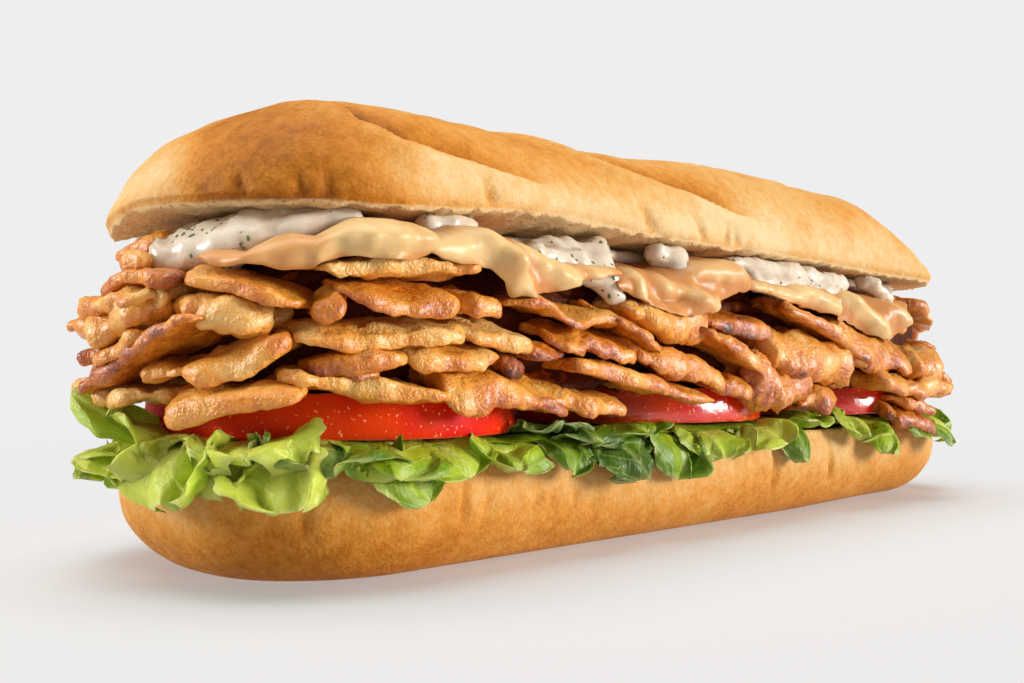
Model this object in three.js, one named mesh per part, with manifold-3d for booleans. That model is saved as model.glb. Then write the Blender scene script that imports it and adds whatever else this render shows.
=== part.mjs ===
// Submarine sandwich: a long soft roll split flat into two halves, stacked with a bed of
// ruffled lettuce, three tomato slices, a heap of sliced chicken, four melted cheese slices
// and a white herb sauce. Millimetres, +Z up. The origin is on the table under the middle
// of the roll. X runs along the roll, and -Y is the side that the viewer looks at.
import * as THREE from "three";
import { mergeVertices } from "three/addons/utils/BufferGeometryUtils.js";
import Module from "manifold-3d";

const wasm = await Module();
wasm.setup();

// The roll in plan is a strip with round ends: a spine line with the half width around it.
const ROLL_LENGTH = 254;
const ROLL_WIDTH = 72;
const HALF_WIDTH = ROLL_WIDTH / 2;
const SPINE = ROLL_LENGTH / 2 - HALF_WIDTH;

// Heights of the stack above the table.
const BOTTOM_CUT = 21;
const TOP_CUT = 62;
const GAP = 0.3;

// The crown of the upper half along the roll: pairs of a place and its height. The dough fell
// a little behind the near end, and the far end runs out like a wedge.
const CROWN_LINE = [
  [-127, 73],
  [-118, 83],
  [-105, 84.5],
  [-90, 85.5],
  [-15, 86],
  [10, 89],
  [30, 89],
  [75, 87.5],
  [85, 83],
  [95, 77],
  [105, 73],
  [115, 71],
  [127, 66],
];
const CROWN_LIP = 1.5;
const CROWN_POWER = 0.85;

// The lower half of the roll.
const FOOT_SHARE = 0.62;
const WIDEST_HEIGHT = 15;

// The diagonal scores on the upper half, each from its start behind the crown to its end.
const SCORE_LINES = [
  [new THREE.Vector2(-120, 12), new THREE.Vector2(-62, -34)],
  [new THREE.Vector2(-80, 24), new THREE.Vector2(6, -32)],
  [new THREE.Vector2(2, 12), new THREE.Vector2(62, -22)],
];
const SCORE_DEPTH = 3.0;
const SCORE_STEEP_SIDE = 2;
const SCORE_GENTLE_SIDE = 9;

// The filling.
const LETTUCE_TOP = 24;
const LETTUCE_RUFFLES = 31;
const TOMATO_RADIUS = 35.3;
const TOMATO_THICKNESS = 7.6;
const TOMATO_PLACES = [
  [-87.5, -2.3],
  [-3, -2.2],
  [69, -2],
];
const HEAP_BOTTOM = LETTUCE_TOP + GAP + TOMATO_THICKNESS + GAP;
const HEAP_TOP = 55.6;
const CHEESE_THICKNESS = 1.5;
const CHEESE_EDGES = [-115, -80, -34, 22, 96];
const CHEESE_NUMBERS = [0, 1, 2, 3];
const SAUCE_TOP = TOP_CUT - GAP;

const CRUST = new THREE.MeshStandardMaterial({ color: "#d9a35c", roughness: 0.62 });
const LEAF = new THREE.MeshStandardMaterial({ color: "#8fbf3a", roughness: 0.4 });
const TOMATO = new THREE.MeshStandardMaterial({ color: "#c81e0c", roughness: 0.2 });
const CHICKEN = new THREE.MeshStandardMaterial({ color: "#c98a4b", roughness: 0.4 });
const CHEESE = new THREE.MeshStandardMaterial({ color: "#ecd9a6", roughness: 0.3 });
const SAUCE = new THREE.MeshStandardMaterial({ color: "#f3efe8", roughness: 0.25 });

// Repeatable unevenness: the same pair of numbers always gives the same value in 0..1.
function scatter(index, salt) {
  const wave = Math.sin(index * 12.9898 + salt * 78.233) * 43758.5453;
  return wave - Math.floor(wave);
}

function smoothStep(low, high, value) {
  return THREE.MathUtils.smoothstep(value, low, high);
}

// A closed surface collected quad by quad. Quads that have collapsed to a line, as on the
// spine of the roll, leave no triangle behind.
class Surface {
  constructor() {
    this.corners = [];
  }
  triangle(a, b, c) {
    const flat =
      a.distanceToSquared(b) < 1e-8 || b.distanceToSquared(c) < 1e-8 || c.distanceToSquared(a) < 1e-8;
    if (!flat) this.corners.push(a, b, c);
  }
  quad(a, b, c, d) {
    this.triangle(a, b, c);
    this.triangle(a, c, d);
  }
  geometry() {
    const loose = new THREE.BufferGeometry().setFromPoints(this.corners);
    const joined = mergeVertices(loose, 1e-4);
    joined.computeVertexNormals();
    return joined;
  }
}

// Stations round the roll's plan outline: a point of the spine and the way out from it.
function outlineStations(perSide, perEnd) {
  const stations = [];
  for (let i = 0; i < perSide; i++) {
    const share = i / perSide;
    stations.push({ spine: -SPINE + 2 * SPINE * share, out: new THREE.Vector2(0, -1) });
  }
  for (let i = 0; i < perEnd; i++) {
    const turn = -Math.PI / 2 + (Math.PI * i) / perEnd;
    stations.push({ spine: SPINE, out: new THREE.Vector2(Math.cos(turn), Math.sin(turn)) });
  }
  for (let i = 0; i < perSide; i++) {
    const share = i / perSide;
    stations.push({ spine: SPINE - 2 * SPINE * share, out: new THREE.Vector2(0, 1) });
  }
  for (let i = 0; i < perEnd; i++) {
    const turn = Math.PI / 2 + (Math.PI * i) / perEnd;
    stations.push({ spine: -SPINE, out: new THREE.Vector2(Math.cos(turn), Math.sin(turn)) });
  }
  return stations;
}

// Sweeps a half profile round the spine, as a lathe does round an axis. The profile holds
// [share of the half width, height] pairs, from the spine at the bottom to the spine at
// the top. shape may move a point, given its place, its share and its station number.
function sweepRoundSpine(profile, { perSide, perEnd, shape = (p) => p }) {
  const stations = outlineStations(perSide, perEnd);
  const rings = profile.map(([share, height]) =>
    stations.map(({ spine, out }, number) => {
      const reach = share * HALF_WIDTH;
      const place = new THREE.Vector3(spine + out.x * reach, out.y * reach, height);
      return shape(place, share, number / stations.length, out);
    }),
  );
  const surface = new Surface();
  for (let r = 0; r + 1 < rings.length; r++) {
    for (let s = 0; s < stations.length; s++) {
      const next = (s + 1) % stations.length;
      surface.quad(rings[r][s], rings[r][next], rings[r + 1][next], rings[r + 1][s]);
    }
  }
  return surface.geometry();
}

// How far out from the spine a place is, as a share of the half width.
function shareAt(x, y) {
  const beyond = Math.max(Math.abs(x) - SPINE, 0);
  return Math.hypot(beyond, y) / HALF_WIDTH;
}

// How high the crown stands at a place along the roll.
function crownAt(x) {
  const next = CROWN_LINE.findIndex(([place]) => place > x);
  if (next <= 0) return next === 0 ? CROWN_LINE[0][1] : CROWN_LINE.at(-1)[1];
  const [low, high] = [CROWN_LINE[next - 1], CROWN_LINE[next]];
  return THREE.MathUtils.mapLinear(x, low[0], high[0], low[1], high[1]);
}

// How deep the scores cut the crust at a place: steep on the near lobe, gentle beyond it.
function scoreDepth(x, y) {
  let depth = 0;
  for (const [start, end] of SCORE_LINES) {
    const way = end.clone().sub(start);
    const reach = way.length();
    way.normalize();
    const away = new THREE.Vector2(x, y).sub(start);
    const along = away.dot(way) / reach;
    const across = way.cross(away);
    const side = across < 0 ? SCORE_STEEP_SIDE : SCORE_GENTLE_SIDE;
    const shown = smoothStep(0, 0.2, along) * (1 - smoothStep(0.75, 1, along));
    depth += SCORE_DEPTH * shown * Math.exp(-((across / side) ** 2));
  }
  return depth;
}

// Lower half: a flat foot, a round shoulder and a level cut face.
function bottomBun() {
  const profile = [[0, 0]];
  for (const step of [0, 0.25, 0.5, 0.75, 1]) {
    const turn = (step * Math.PI) / 2;
    const share = FOOT_SHARE + (1 - FOOT_SHARE) * Math.sin(turn);
    profile.push([share, WIDEST_HEIGHT * (1 - Math.cos(turn))]);
  }
  profile.push([0.985, BOTTOM_CUT - 1.5], [0.955, BOTTOM_CUT], [0, BOTTOM_CUT]);
  return sweepRoundSpine(profile, { perSide: 6, perEnd: 12 });
}

// Upper half: a level cut face with a crust lip, and a scored dome above it.
function topBun() {
  const lip = TOP_CUT + CROWN_LIP;
  const profile = [
    [0, TOP_CUT],
    [0.95, TOP_CUT],
    [0.99, lip],
  ];
  for (const turn of [12, 24, 36, 47, 58, 68, 78, 90].map(THREE.MathUtils.degToRad)) {
    profile.push([Math.cos(turn) ** CROWN_POWER, lip + Math.sin(turn)]);
  }
  profile[profile.length - 1][0] = 0;
  const shape = (place) => {
    const climb = Math.max(place.z - lip, 0);
    if (climb > 0) place.z = lip + climb * (crownAt(place.x) - lip);
    const crown = smoothStep(TOP_CUT + 4, TOP_CUT + 14, place.z);
    place.z -= crown * scoreDepth(place.x, place.y);
    return place;
  };
  return sweepRoundSpine(profile, { perSide: 24, perEnd: 12, shape });
}

// Bed of lettuce: a thin layer whose ruffled skirt stands out past the roll and hangs.
function lettuceBed() {
  const floor = BOTTOM_CUT + GAP;
  const profile = [
    [0, floor],
    [1.02, floor],
    [1.06, 17],
    [1.12, 14],
    [1.19, 15.5],
    [1.14, 20],
    [1.03, 23.6],
    [0, LETTUCE_TOP],
  ];
  const shape = (place, share, round, out) => {
    const skirt = smoothStep(1.03, 1.12, share);
    const ruffle = Math.sin(round * LETTUCE_RUFFLES * 2 * Math.PI);
    const drift = Math.sin(round * 7 * 2 * Math.PI + 1);
    place.x += out.x * skirt * (1 + 1.8 * ruffle);
    place.y += out.y * skirt * (1 + 1.8 * ruffle);
    place.z += skirt * (1.4 * drift + 1.2 * ruffle);
    return place;
  };
  return sweepRoundSpine(profile, { perSide: 28, perEnd: 16, shape });
}

// One tomato slice: a disc with softly rounded skin edges.
function tomatoSlice() {
  const half = TOMATO_THICKNESS / 2;
  const bulge = 1.6;
  const outline = [
    [0, -half],
    [TOMATO_RADIUS - bulge, -half],
    [TOMATO_RADIUS - bulge * 0.3, -half * 0.7],
    [TOMATO_RADIUS, 0],
    [TOMATO_RADIUS - bulge * 0.3, half * 0.7],
    [TOMATO_RADIUS - bulge, half],
    [0, half],
  ].map(([radius, height]) => new THREE.Vector2(radius, height));
  return new THREE.LatheGeometry(outline, 24).rotateX(Math.PI / 2);
}

// A closed geometry as a solid that can be joined and cut.
function solidOf(geometry) {
  const bare = geometry.clone();
  bare.deleteAttribute("normal");
  bare.deleteAttribute("uv");
  const joined = mergeVertices(bare, 1e-4);
  return new wasm.Manifold(
    new wasm.Mesh({
      numProp: 3,
      vertProperties: joined.attributes.position.array,
      triVerts: new Uint32Array(joined.index.array),
    }),
  );
}

function geometryOf(solid) {
  const mesh = solid.getMesh();
  const geometry = new THREE.BufferGeometry();
  geometry.setAttribute("position", new THREE.BufferAttribute(mesh.vertProperties, 3));
  geometry.setIndex(new THREE.BufferAttribute(mesh.triVerts, 1));
  geometry.computeVertexNormals();
  return geometry;
}

// A cut can leave slivers behind, so the largest piece is the one that is kept.
function largestPiece(solid) {
  return solid.decompose().reduce((best, piece) => (piece.volume() > best.volume() ? piece : best));
}

// One cut of chicken: an uneven lozenge with thin edges, lying flat.
function chickenCut({ length, width, thickness, seed }) {
  const sides = 7;
  const levels = [
    [0, -0.5],
    [0.8, -0.5],
    [1, 0],
    [0.8, 0.5],
    [0, 0.5],
  ];
  const rings = levels.map(([size, level]) =>
    Array.from({ length: sides }, (_, side) => {
      const turn = (side / sides) * 2 * Math.PI;
      const uneven = 0.82 + 0.36 * scatter(seed, side);
      return new THREE.Vector3(
        (Math.cos(turn) * size * uneven * length) / 2,
        (Math.sin(turn) * size * uneven * width) / 2,
        level * thickness,
      );
    }),
  );
  const surface = new Surface();
  for (let r = 0; r + 1 < rings.length; r++) {
    for (let s = 0; s < sides; s++) {
      const next = (s + 1) % sides;
      surface.quad(rings[r][s], rings[r][next], rings[r + 1][next], rings[r + 1][s]);
    }
  }
  return surface.geometry();
}

// The heap's mound: wide over the tomato, drawn in under the cheese. Its upper side has
// two bends, at these shares of the half width.
const UPPER_BENDS = [0.74, 0.9];
const MOUND = [
  [0, HEAP_BOTTOM],
  [1.05, HEAP_BOTTOM],
  [1.16, 38],
  [1.16, 46],
  [UPPER_BENDS[1], 53.6],
  [UPPER_BENDS[0], HEAP_TOP],
  [0, HEAP_TOP],
];

// Chicken heap: layered cuts round a core, kept inside the mound, as one solid.
function chickenHeap() {
  const core = MOUND.map(([share, height]) => [share * 0.84, height]);
  let heap = solidOf(sweepRoundSpine(core, { perSide: 5, perEnd: 6 }));
  const layers = [36, 41, 46, 50.5];
  const perLayer = 10;
  const round = outlineStations(60, 36);
  layers.forEach((height, layer) => {
    for (let i = 0; i < perLayer; i++) {
      const seed = layer * perLayer + i;
      const share = (i + 0.5 * (layer % 2) + 0.5 * scatter(seed, 1)) / perLayer;
      const { spine, out } = round[Math.floor(share * round.length) % round.length];
      const size = {
        length: 44 + 16 * scatter(seed, 3),
        width: 24 + 8 * scatter(seed, 4),
        thickness: 4.6 + 1.6 * scatter(seed, 5),
        seed,
      };
      const reach = HALF_WIDTH * (1.04 + 0.16 * scatter(seed, 2)) - size.width / 2;
      const cut = chickenCut(size)
        .rotateX(0.3 * (scatter(seed, 6) - 0.5))
        .rotateY(0.3 * (scatter(seed, 7) - 0.5))
        .rotateZ(Math.atan2(out.y, out.x) + Math.PI / 2 + 0.7 * (scatter(seed, 8) - 0.5))
        .translate(spine + out.x * reach, out.y * reach, height + scatter(seed, 9));
      heap = heap.add(solidOf(cut));
    }
  });
  const mound = solidOf(sweepRoundSpine(MOUND, { perSide: 2, perEnd: 8 }));
  return geometryOf(largestPiece(heap.intersect(mound)));
}

// Height of the mound's upper side at a place, which the cheese and the sauce follow.
function moundHeight(x, y) {
  const share = shareAt(x, y);
  const upper = MOUND.slice(3).reverse();
  for (let i = 0; i + 1 < upper.length; i++) {
    const [inner, innerHeight] = upper[i];
    const [outer, outerHeight] = upper[i + 1];
    if (share <= outer) {
      const part = (share - inner) / (outer - inner);
      return innerHeight + (outerHeight - innerHeight) * part;
    }
  }
  return upper[upper.length - 1][1];
}

// A closed slab between two heights given at every place of a grid over the plan.
function slabBetween({ places, floor, roof }) {
  const below = places.map((row) => row.map(([x, y]) => new THREE.Vector3(x, y, floor(x, y))));
  const above = places.map((row) => row.map(([x, y]) => new THREE.Vector3(x, y, roof(x, y))));
  const rows = places.length - 1;
  const columns = places[0].length - 1;
  const surface = new Surface();
  for (let r = 0; r < rows; r++) {
    for (let c = 0; c < columns; c++) {
      surface.quad(above[r][c], above[r + 1][c], above[r + 1][c + 1], above[r][c + 1]);
      surface.quad(below[r][c], below[r][c + 1], below[r + 1][c + 1], below[r + 1][c]);
    }
  }
  for (let r = 0; r < rows; r++) {
    surface.quad(below[r][0], below[r + 1][0], above[r + 1][0], above[r][0]);
    surface.quad(below[r + 1][columns], below[r][columns], above[r][columns], above[r + 1][columns]);
  }
  for (let c = 0; c < columns; c++) {
    surface.quad(below[0][c + 1], below[0][c], above[0][c], above[0][c + 1]);
    surface.quad(below[rows][c], below[rows][c + 1], above[rows][c + 1], above[rows][c]);
  }
  return surface.geometry();
}

// A grid of places from one end of a strip to the other, and across the roll from the
// front to the back. Its columns follow the mound's bends, and the outermost ones lie at
// a share of the half width that varies along the strip.
function stripPlaces({ from, to, steps, reach }) {
  const places = [];
  for (let r = 0; r <= steps; r++) {
    const x = from + ((to - from) * r) / steps;
    const beyond = Math.max(Math.abs(x) - SPINE, 0) / HALF_WIDTH;
    const column = (side, share) => {
      const limit = Math.sqrt(Math.max(share ** 2 - beyond ** 2, 0.02 * share));
      return [x, side * limit * HALF_WIDTH];
    };
    const shares = [UPPER_BENDS[0] / 2, ...UPPER_BENDS];
    const front = shares.map((share) => column(-1, share)).reverse();
    const back = shares.map((share) => column(1, share));
    places.push([column(-1, reach(x, -1)), ...front, [x, 0], ...back, column(1, reach(x, 1))]);
  }
  return places;
}

// One melted cheese slice, laid across the heap with its two ends hanging over the sides.
function cheeseSlice(number) {
  const places = stripPlaces({
    from: CHEESE_EDGES[number] + GAP,
    to: CHEESE_EDGES[number + 1] - GAP,
    steps: 8,
    reach: (x, side) => 1.01 + 0.07 * Math.sin(x / 9 + side),
  });
  const floor = (x, y) => moundHeight(x, y) + GAP;
  const roof = (x, y) => floor(x, y) + CHEESE_THICKNESS;
  return slabBetween({ places, floor, roof });
}

// White herb sauce: fills up to the cut face of the upper half and bulges at the sides.
function herbSauce() {
  const places = stripPlaces({
    from: -114,
    to: 110,
    steps: 32,
    reach: (x, side) => 0.96 + 0.04 * Math.sin(x / 11 + 2 * side),
  });
  const floor = (x, y) => moundHeight(x, y) + CHEESE_THICKNESS + 3 * GAP;
  const roof = (x, y) => {
    const fall = smoothStep(0.7, 1, shareAt(x, y));
    return Math.max(SAUCE_TOP - 3.6 * fall, floor(x, y) + 1);
  };
  return slabBetween({ places, floor, roof });
}

const sandwich = new THREE.Group();

function addPiece(name, geometry, material) {
  const piece = new THREE.Mesh(geometry, material);
  piece.name = name;
  sandwich.add(piece);
  return piece;
}

addPiece("bottom_bun", bottomBun(), CRUST);
addPiece("top_bun", topBun(), CRUST);
addPiece("lettuce", lettuceBed(), LEAF);
TOMATO_PLACES.forEach(([x, y], i) => {
  const slice = addPiece(`tomato_slice_${i + 1}`, tomatoSlice(), TOMATO);
  slice.position.set(x, y, LETTUCE_TOP + GAP + TOMATO_THICKNESS / 2);
});
addPiece("chicken_heap", chickenHeap(), CHICKEN);
for (const number of CHEESE_NUMBERS) {
  addPiece(`cheese_slice_${number + 1}`, cheeseSlice(number), CHEESE);
}
addPiece("herb_sauce", herbSauce(), SAUCE);

export default sandwich;
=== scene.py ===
# %% [markdown]
# A submarine sandwich. A long soft roll is split flat and stacked with ruffled lettuce,
# tomato, sliced chicken, melted cheese and a white herb sauce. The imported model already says
# where each layer lies, and this lesson gives each layer its real surface, cell by cell.

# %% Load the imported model
import math
from collections import namedtuple
from itertools import product

import bmesh
import bpy
import numpy as np
from mathutils import Euler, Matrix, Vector
from mathutils.bvhtree import BVHTree


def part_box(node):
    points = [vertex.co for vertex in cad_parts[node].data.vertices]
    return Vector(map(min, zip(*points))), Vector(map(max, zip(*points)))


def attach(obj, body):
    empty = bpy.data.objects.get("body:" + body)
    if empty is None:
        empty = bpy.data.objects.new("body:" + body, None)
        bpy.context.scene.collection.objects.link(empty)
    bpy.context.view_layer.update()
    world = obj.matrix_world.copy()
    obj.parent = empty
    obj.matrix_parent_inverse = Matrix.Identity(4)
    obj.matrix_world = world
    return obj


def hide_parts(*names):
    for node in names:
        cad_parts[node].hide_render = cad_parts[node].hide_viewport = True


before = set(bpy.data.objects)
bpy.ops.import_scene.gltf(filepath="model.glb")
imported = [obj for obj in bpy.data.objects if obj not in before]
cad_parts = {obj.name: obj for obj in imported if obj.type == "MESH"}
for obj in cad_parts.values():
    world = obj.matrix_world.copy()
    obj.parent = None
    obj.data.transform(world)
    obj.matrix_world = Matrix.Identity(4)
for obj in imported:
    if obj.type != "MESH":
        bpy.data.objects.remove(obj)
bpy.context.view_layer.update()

print("layers of the packed model:", sorted(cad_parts))

# %% [markdown]
# Every size below is in millimetres, as a cook's ruler would give it, and a mesh is turned into
# metres at the very end. The plan of the roll is a strip with round ends: a spine line with the
# half width around it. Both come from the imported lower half, so nothing can drift apart.

# %% Read the roll's driving sizes
MM = 0.001


def reach_of(node):
    """The lowest and highest corner of a packed layer, in millimetres."""
    low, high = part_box(node)
    return np.array(low) / MM, np.array(high) / MM


bottom_low, bottom_high = reach_of("bottom_bun")
HALF_WIDTH = (bottom_high[1] - bottom_low[1]) / 2
SPINE = (bottom_high[0] - bottom_low[0]) / 2 - HALF_WIDTH
BOTTOM_CUT = bottom_high[2]
LETTUCE_TOP = reach_of("lettuce")[1][2]
TOP_CUT = reach_of("top_bun")[0][2]
SIDE_WALK = 2 * SPINE
END_WALK = math.pi * HALF_WIDTH
WHOLE_WALK = 2 * (SIDE_WALK + END_WALK)
print(f"half width {HALF_WIDTH:.1f}, spine {SPINE:.1f}, walk round the roll {WHOLE_WALK:.0f} mm")

# %% [markdown]
# The photo was taken from close by, at the height of the filling, with the near end of the roll
# on the left. The camera is built from those facts: where it stands, which way it faces and how
# long its lens is. It comes first, because pieces are later placed by where they show.

# %% Set up the camera
PHOTO_WIDTH = 1024
PHOTO_HEIGHT = 683
FOCAL_PIXELS = 1150
SENSOR_WIDTH = 36
CAMERA_PLACE = np.array([-221.2, -180.0, 35.5])
CAMERA_TILT = 1.49
CAMERA_HEADING = -45.7
CAMERA_TURN = Euler((math.radians(90 + CAMERA_TILT), 0, math.radians(CAMERA_HEADING)))

lens = bpy.data.cameras.new("camera")
lens.sensor_width = SENSOR_WIDTH
lens.lens = FOCAL_PIXELS * SENSOR_WIDTH / PHOTO_WIDTH
lens.clip_start = 0.01
camera = bpy.data.objects.new("camera", lens)
camera.location = CAMERA_PLACE * MM
camera.rotation_euler = CAMERA_TURN
bpy.context.scene.collection.objects.link(camera)
bpy.context.scene.camera = camera
print(f"lens {lens.lens:.1f} mm at {CAMERA_PLACE} mm")

# %% [markdown]
# Three questions come up for every piece: how far a place is from the spine, which way is
# outward there, and where a walk round the roll leads. Answering them once keeps the front, the
# round ends and the back of the sandwich alike.

# %% Find places around the roll
UP = np.array([0.0, 0.0, 1.0])
NEAREST_SIGHT = 120
FARTHEST_SIGHT = 460
SIGHT_STEP = 0.1


def from_spine(places):
    """How far places are from the spine, seen from above."""
    return np.hypot(np.maximum(np.abs(places[..., 0]) - SPINE, 0), places[..., 1])


def unit(way):
    return way / np.linalg.norm(way, axis=-1, keepdims=True)


def way_out(places):
    """The level way out from the spine at places."""
    way = np.array(places, float)
    way[..., 0] -= np.clip(way[..., 0], -SPINE, SPINE)
    way[..., 2] = 0
    return unit(way)


def round_roll(walk, out, height):
    """Where a walk round the roll leads, standing out from its side. It starts at the front."""
    walk = walk % WHOLE_WALK
    half = walk % (SIDE_WALK + END_WALK)
    along = min(half, SIDE_WALK) - SPINE
    turn = max(half - SIDE_WALK, 0) / HALF_WIDTH - math.pi / 2
    reach = HALF_WIDTH + out
    place = np.array([along + math.cos(turn) * reach, math.sin(turn) * reach, height])
    flip = np.array([-1, -1, 1]) if walk >= SIDE_WALK + END_WALK else np.ones(3)
    return place * flip


def first_seen(pixel, gap_of):
    """Where the sight line through a pixel of the photo first meets a surface."""
    right = (pixel[0] - PHOTO_WIDTH / 2) / FOCAL_PIXELS
    rise = (PHOTO_HEIGHT / 2 - pixel[1]) / FOCAL_PIXELS
    aim = np.array(CAMERA_TURN.to_matrix() @ Vector((right, rise, -1)))
    stops = int((FARTHEST_SIGHT - NEAREST_SIGHT) / SIGHT_STEP) + 1
    track = CAMERA_PLACE + np.linspace(NEAREST_SIGHT, FARTHEST_SIGHT, stops)[:, None] * aim
    gap = gap_of(track)
    inside = np.flatnonzero(gap < 0)
    return track[inside[0] if len(inside) else np.argmin(gap)]


def seen(pixel, out=0.0):
    """The place that shows at a pixel of the photo, on a wall out millimetres off the roll."""
    return first_seen(pixel, lambda track: from_spine(track) - HALF_WIDTH - out)


def pixel_size(place):
    """How many millimetres one pixel of the photo covers at a place."""
    ahead = CAMERA_TURN.to_matrix() @ Vector((0, 0, -1))
    return float(np.dot(place - CAMERA_PLACE, ahead)) / FOCAL_PIXELS


print("the near tomato's left end shows at", seen((140, 430)).round(1))

# %% [markdown]
# Food is never even. All unevenness comes from one kind of noise: a random height at every
# corner of a lattice, joined smoothly. Blender has such a function too, but it takes one point
# at a time, and this one takes a whole mesh. The number after the size is a seed, and the same
# seed always gives the same lumps.


# %% Make repeatable unevenness
def lattice_heights(corners, seed):
    """A random height from -1 to 1 for each whole-numbered corner. The odd factors stir its bits."""
    mixed = corners[..., 0] * 73856093 ^ corners[..., 1] * 19349663 ^ corners[..., 2] * 83492791
    mixed = (mixed ^ seed * 2654435761) & 0xFFFFFFFF
    mixed = ((mixed ^ mixed >> 15) * 0x2C1B3C6D) & 0xFFFFFFFF
    mixed = ((mixed ^ mixed >> 12) * 0x297A2D39) & 0xFFFFFFFF
    return (mixed ^ mixed >> 15) / 0x7FFFFFFF - 1


def uneven(places, size, seed=0, octaves=1):
    """Smooth unevenness whose lumps are size millimetres across, with finer ones over them."""
    total = 0
    for octave in range(octaves):
        scaled = np.asarray(places) / size * 2**octave + 0.37 * octave
        cell = np.floor(scaled).astype(np.int64)
        part = scaled - cell
        part = part * part * (3 - 2 * part)
        for corner in product((0, 1), repeat=3):
            weight = np.prod(np.where(np.array(corner) == 1, part, 1 - part), axis=-1)
            total = total + weight * lattice_heights(cell + np.array(corner), seed + octave) / 2**octave
    return total


def fade(low, high, value):
    """0 below low, 1 above high, and a soft step between them."""
    part = np.clip((np.asarray(value, float) - low) / (high - low), 0, 1)
    return part * part * (3 - 2 * part)


sample = uneven(np.random.default_rng(0).uniform(-100, 100, (2000, 3)), 5)
print(f"unevenness runs from {sample.min():.2f} to {sample.max():.2f}")

# %% [markdown]
# Most pieces are either a closed skin over rings of points, such as a bun, a slice or a tomato,
# or a thick sheet over a grid, such as a leaf or melted cheese. Two functions give the faces of
# those, and a pile gathers many small skins into one mesh, with a few marks for every point
# that the finishes read later, such as how browned it is.

# %% Gather skins into meshes
WELD_REACH = 0.00001
SHARP_FROM = 100


def skin_of_rings(rings):
    """A closed skin over rings of points, with a middle point at each end."""
    count, turns = rings.shape[:2]
    number = np.arange(count * turns).reshape(count, turns)
    after = np.roll(number, -1, axis=1)
    quads = np.stack([number[:-1], after[:-1], after[1:], number[1:]], axis=-1).reshape(-1, 4)
    first, last = count * turns, count * turns + 1
    below = np.stack([after[0], number[0], np.full(turns, first)], axis=-1)
    above = np.stack([number[-1], after[-1], np.full(turns, last)], axis=-1)
    places = np.concatenate([rings.reshape(-1, 3), rings[[0, -1]].mean(axis=1)])
    return places, quads.tolist() + below.tolist() + above.tolist()


def grid_normals(grid):
    return unit(np.cross(np.gradient(grid, axis=1), np.gradient(grid, axis=0)) + 1e-9)


def thick_sheet(grid, thickness):
    """A closed sheet of some thickness round a grid, drawn to a round edge at its border."""
    rows, columns = grid.shape[:2]
    offset = grid_normals(grid) * (thickness / 2)[..., None]
    border = np.ones((rows, columns), bool)
    border[1:-1, 1:-1] = False
    front = np.arange(rows * columns).reshape(rows, columns)
    back = np.where(border, front, front + rows * columns)
    faces = []
    for number, flip in ((front, False), (back, True)):
        quad = [number[:-1, :-1], number[:-1, 1:], number[1:, 1:], number[1:, :-1]]
        quad = quad[::-1] if flip else quad
        faces += np.stack(quad, axis=-1).reshape(-1, 4).tolist()
    middle = np.where(border[..., None], grid, grid + offset)
    return np.concatenate([middle.reshape(-1, 3), (grid - offset).reshape(-1, 3)]), faces


class Pile:
    """Skins gathered into one mesh, with named marks for every point."""

    def __init__(self, *mark_names):
        self.places, self.faces, self.marks = [], [], {name: [] for name in mark_names}
        self.count = 0

    def add(self, places, faces, **marks):
        self.faces += [[corner + self.count for corner in face] for face in faces]
        self.places.append(places)
        self.count += len(places)
        for name, kept in self.marks.items():
            kept.append(np.broadcast_to(marks.get(name, 0.0), len(places)))

    def piece(self, name, finish, slot, *nodes):
        """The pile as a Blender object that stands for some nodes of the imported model."""
        mesh = bpy.data.meshes.new(name)
        mesh.from_pydata((np.concatenate(self.places) * MM).tolist(), [], self.faces)
        for mark, kept in self.marks.items():
            layer = mesh.attributes.new(mark, "FLOAT", "POINT")
            layer.data.foreach_set("value", np.concatenate(kept).astype(np.float32))
        weld(mesh)
        made = bpy.data.objects.new(name, mesh)
        bpy.context.scene.collection.objects.link(made)
        return settle(made, finish, slot, *nodes)


def weld(mesh):
    """Joins points that fell together, drops loose ones and turns all faces outward."""
    form = bmesh.new()
    form.from_mesh(mesh)
    bmesh.ops.remove_doubles(form, verts=form.verts, dist=WELD_REACH)
    bmesh.ops.delete(form, geom=[v for v in form.verts if not v.link_faces], context="VERTS")
    bmesh.ops.recalc_face_normals(form, faces=form.faces)
    form.to_mesh(mesh)
    form.free()


def settle(made, finish, slot, *nodes):
    """Gives a piece its finish and its place on the sandwich."""
    if made.data.materials:
        made.data.materials.clear()
    made.data.materials.append(finish)
    made.data.shade_smooth()
    made.data.set_sharp_from_angle(angle=math.radians(SHARP_FROM))
    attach(made, "root")
    if nodes:
        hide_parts(*nodes)
    made.data.calc_loop_triangles()
    print(f"{made.name}: {len(made.data.loop_triangles)} triangles")
    return made


def skin_piece(rings, name, finish, slot, node, marks):
    """One closed skin as a piece. A mark has values for the rings and two for the end points."""
    pile = Pile(*marks)
    places, faces = skin_of_rings(rings)
    values = {
        mark: np.concatenate([on_rings.ravel().astype(float), at_ends])
        for mark, (on_rings, at_ends) in marks.items()
    }
    pile.add(places, faces, **values)
    return pile.piece(name, finish, slot, node)


brick = np.array([[[0, 0, z], [1, 0, z], [1, 1, z], [0, 1, z]] for z in (0.0, 1.0)])
print("a skin over two rings of four points has", len(skin_of_rings(brick)[1]), "faces")

# %% [markdown]
# Finishes are shader node trees, which are hard to read as a list of links. Here a wire wraps
# one output of a node, and Python's own + - * / on wires add the Math nodes, so a recipe reads
# like a sum. Every other node comes from one method that sets it up and plugs it in.


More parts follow.
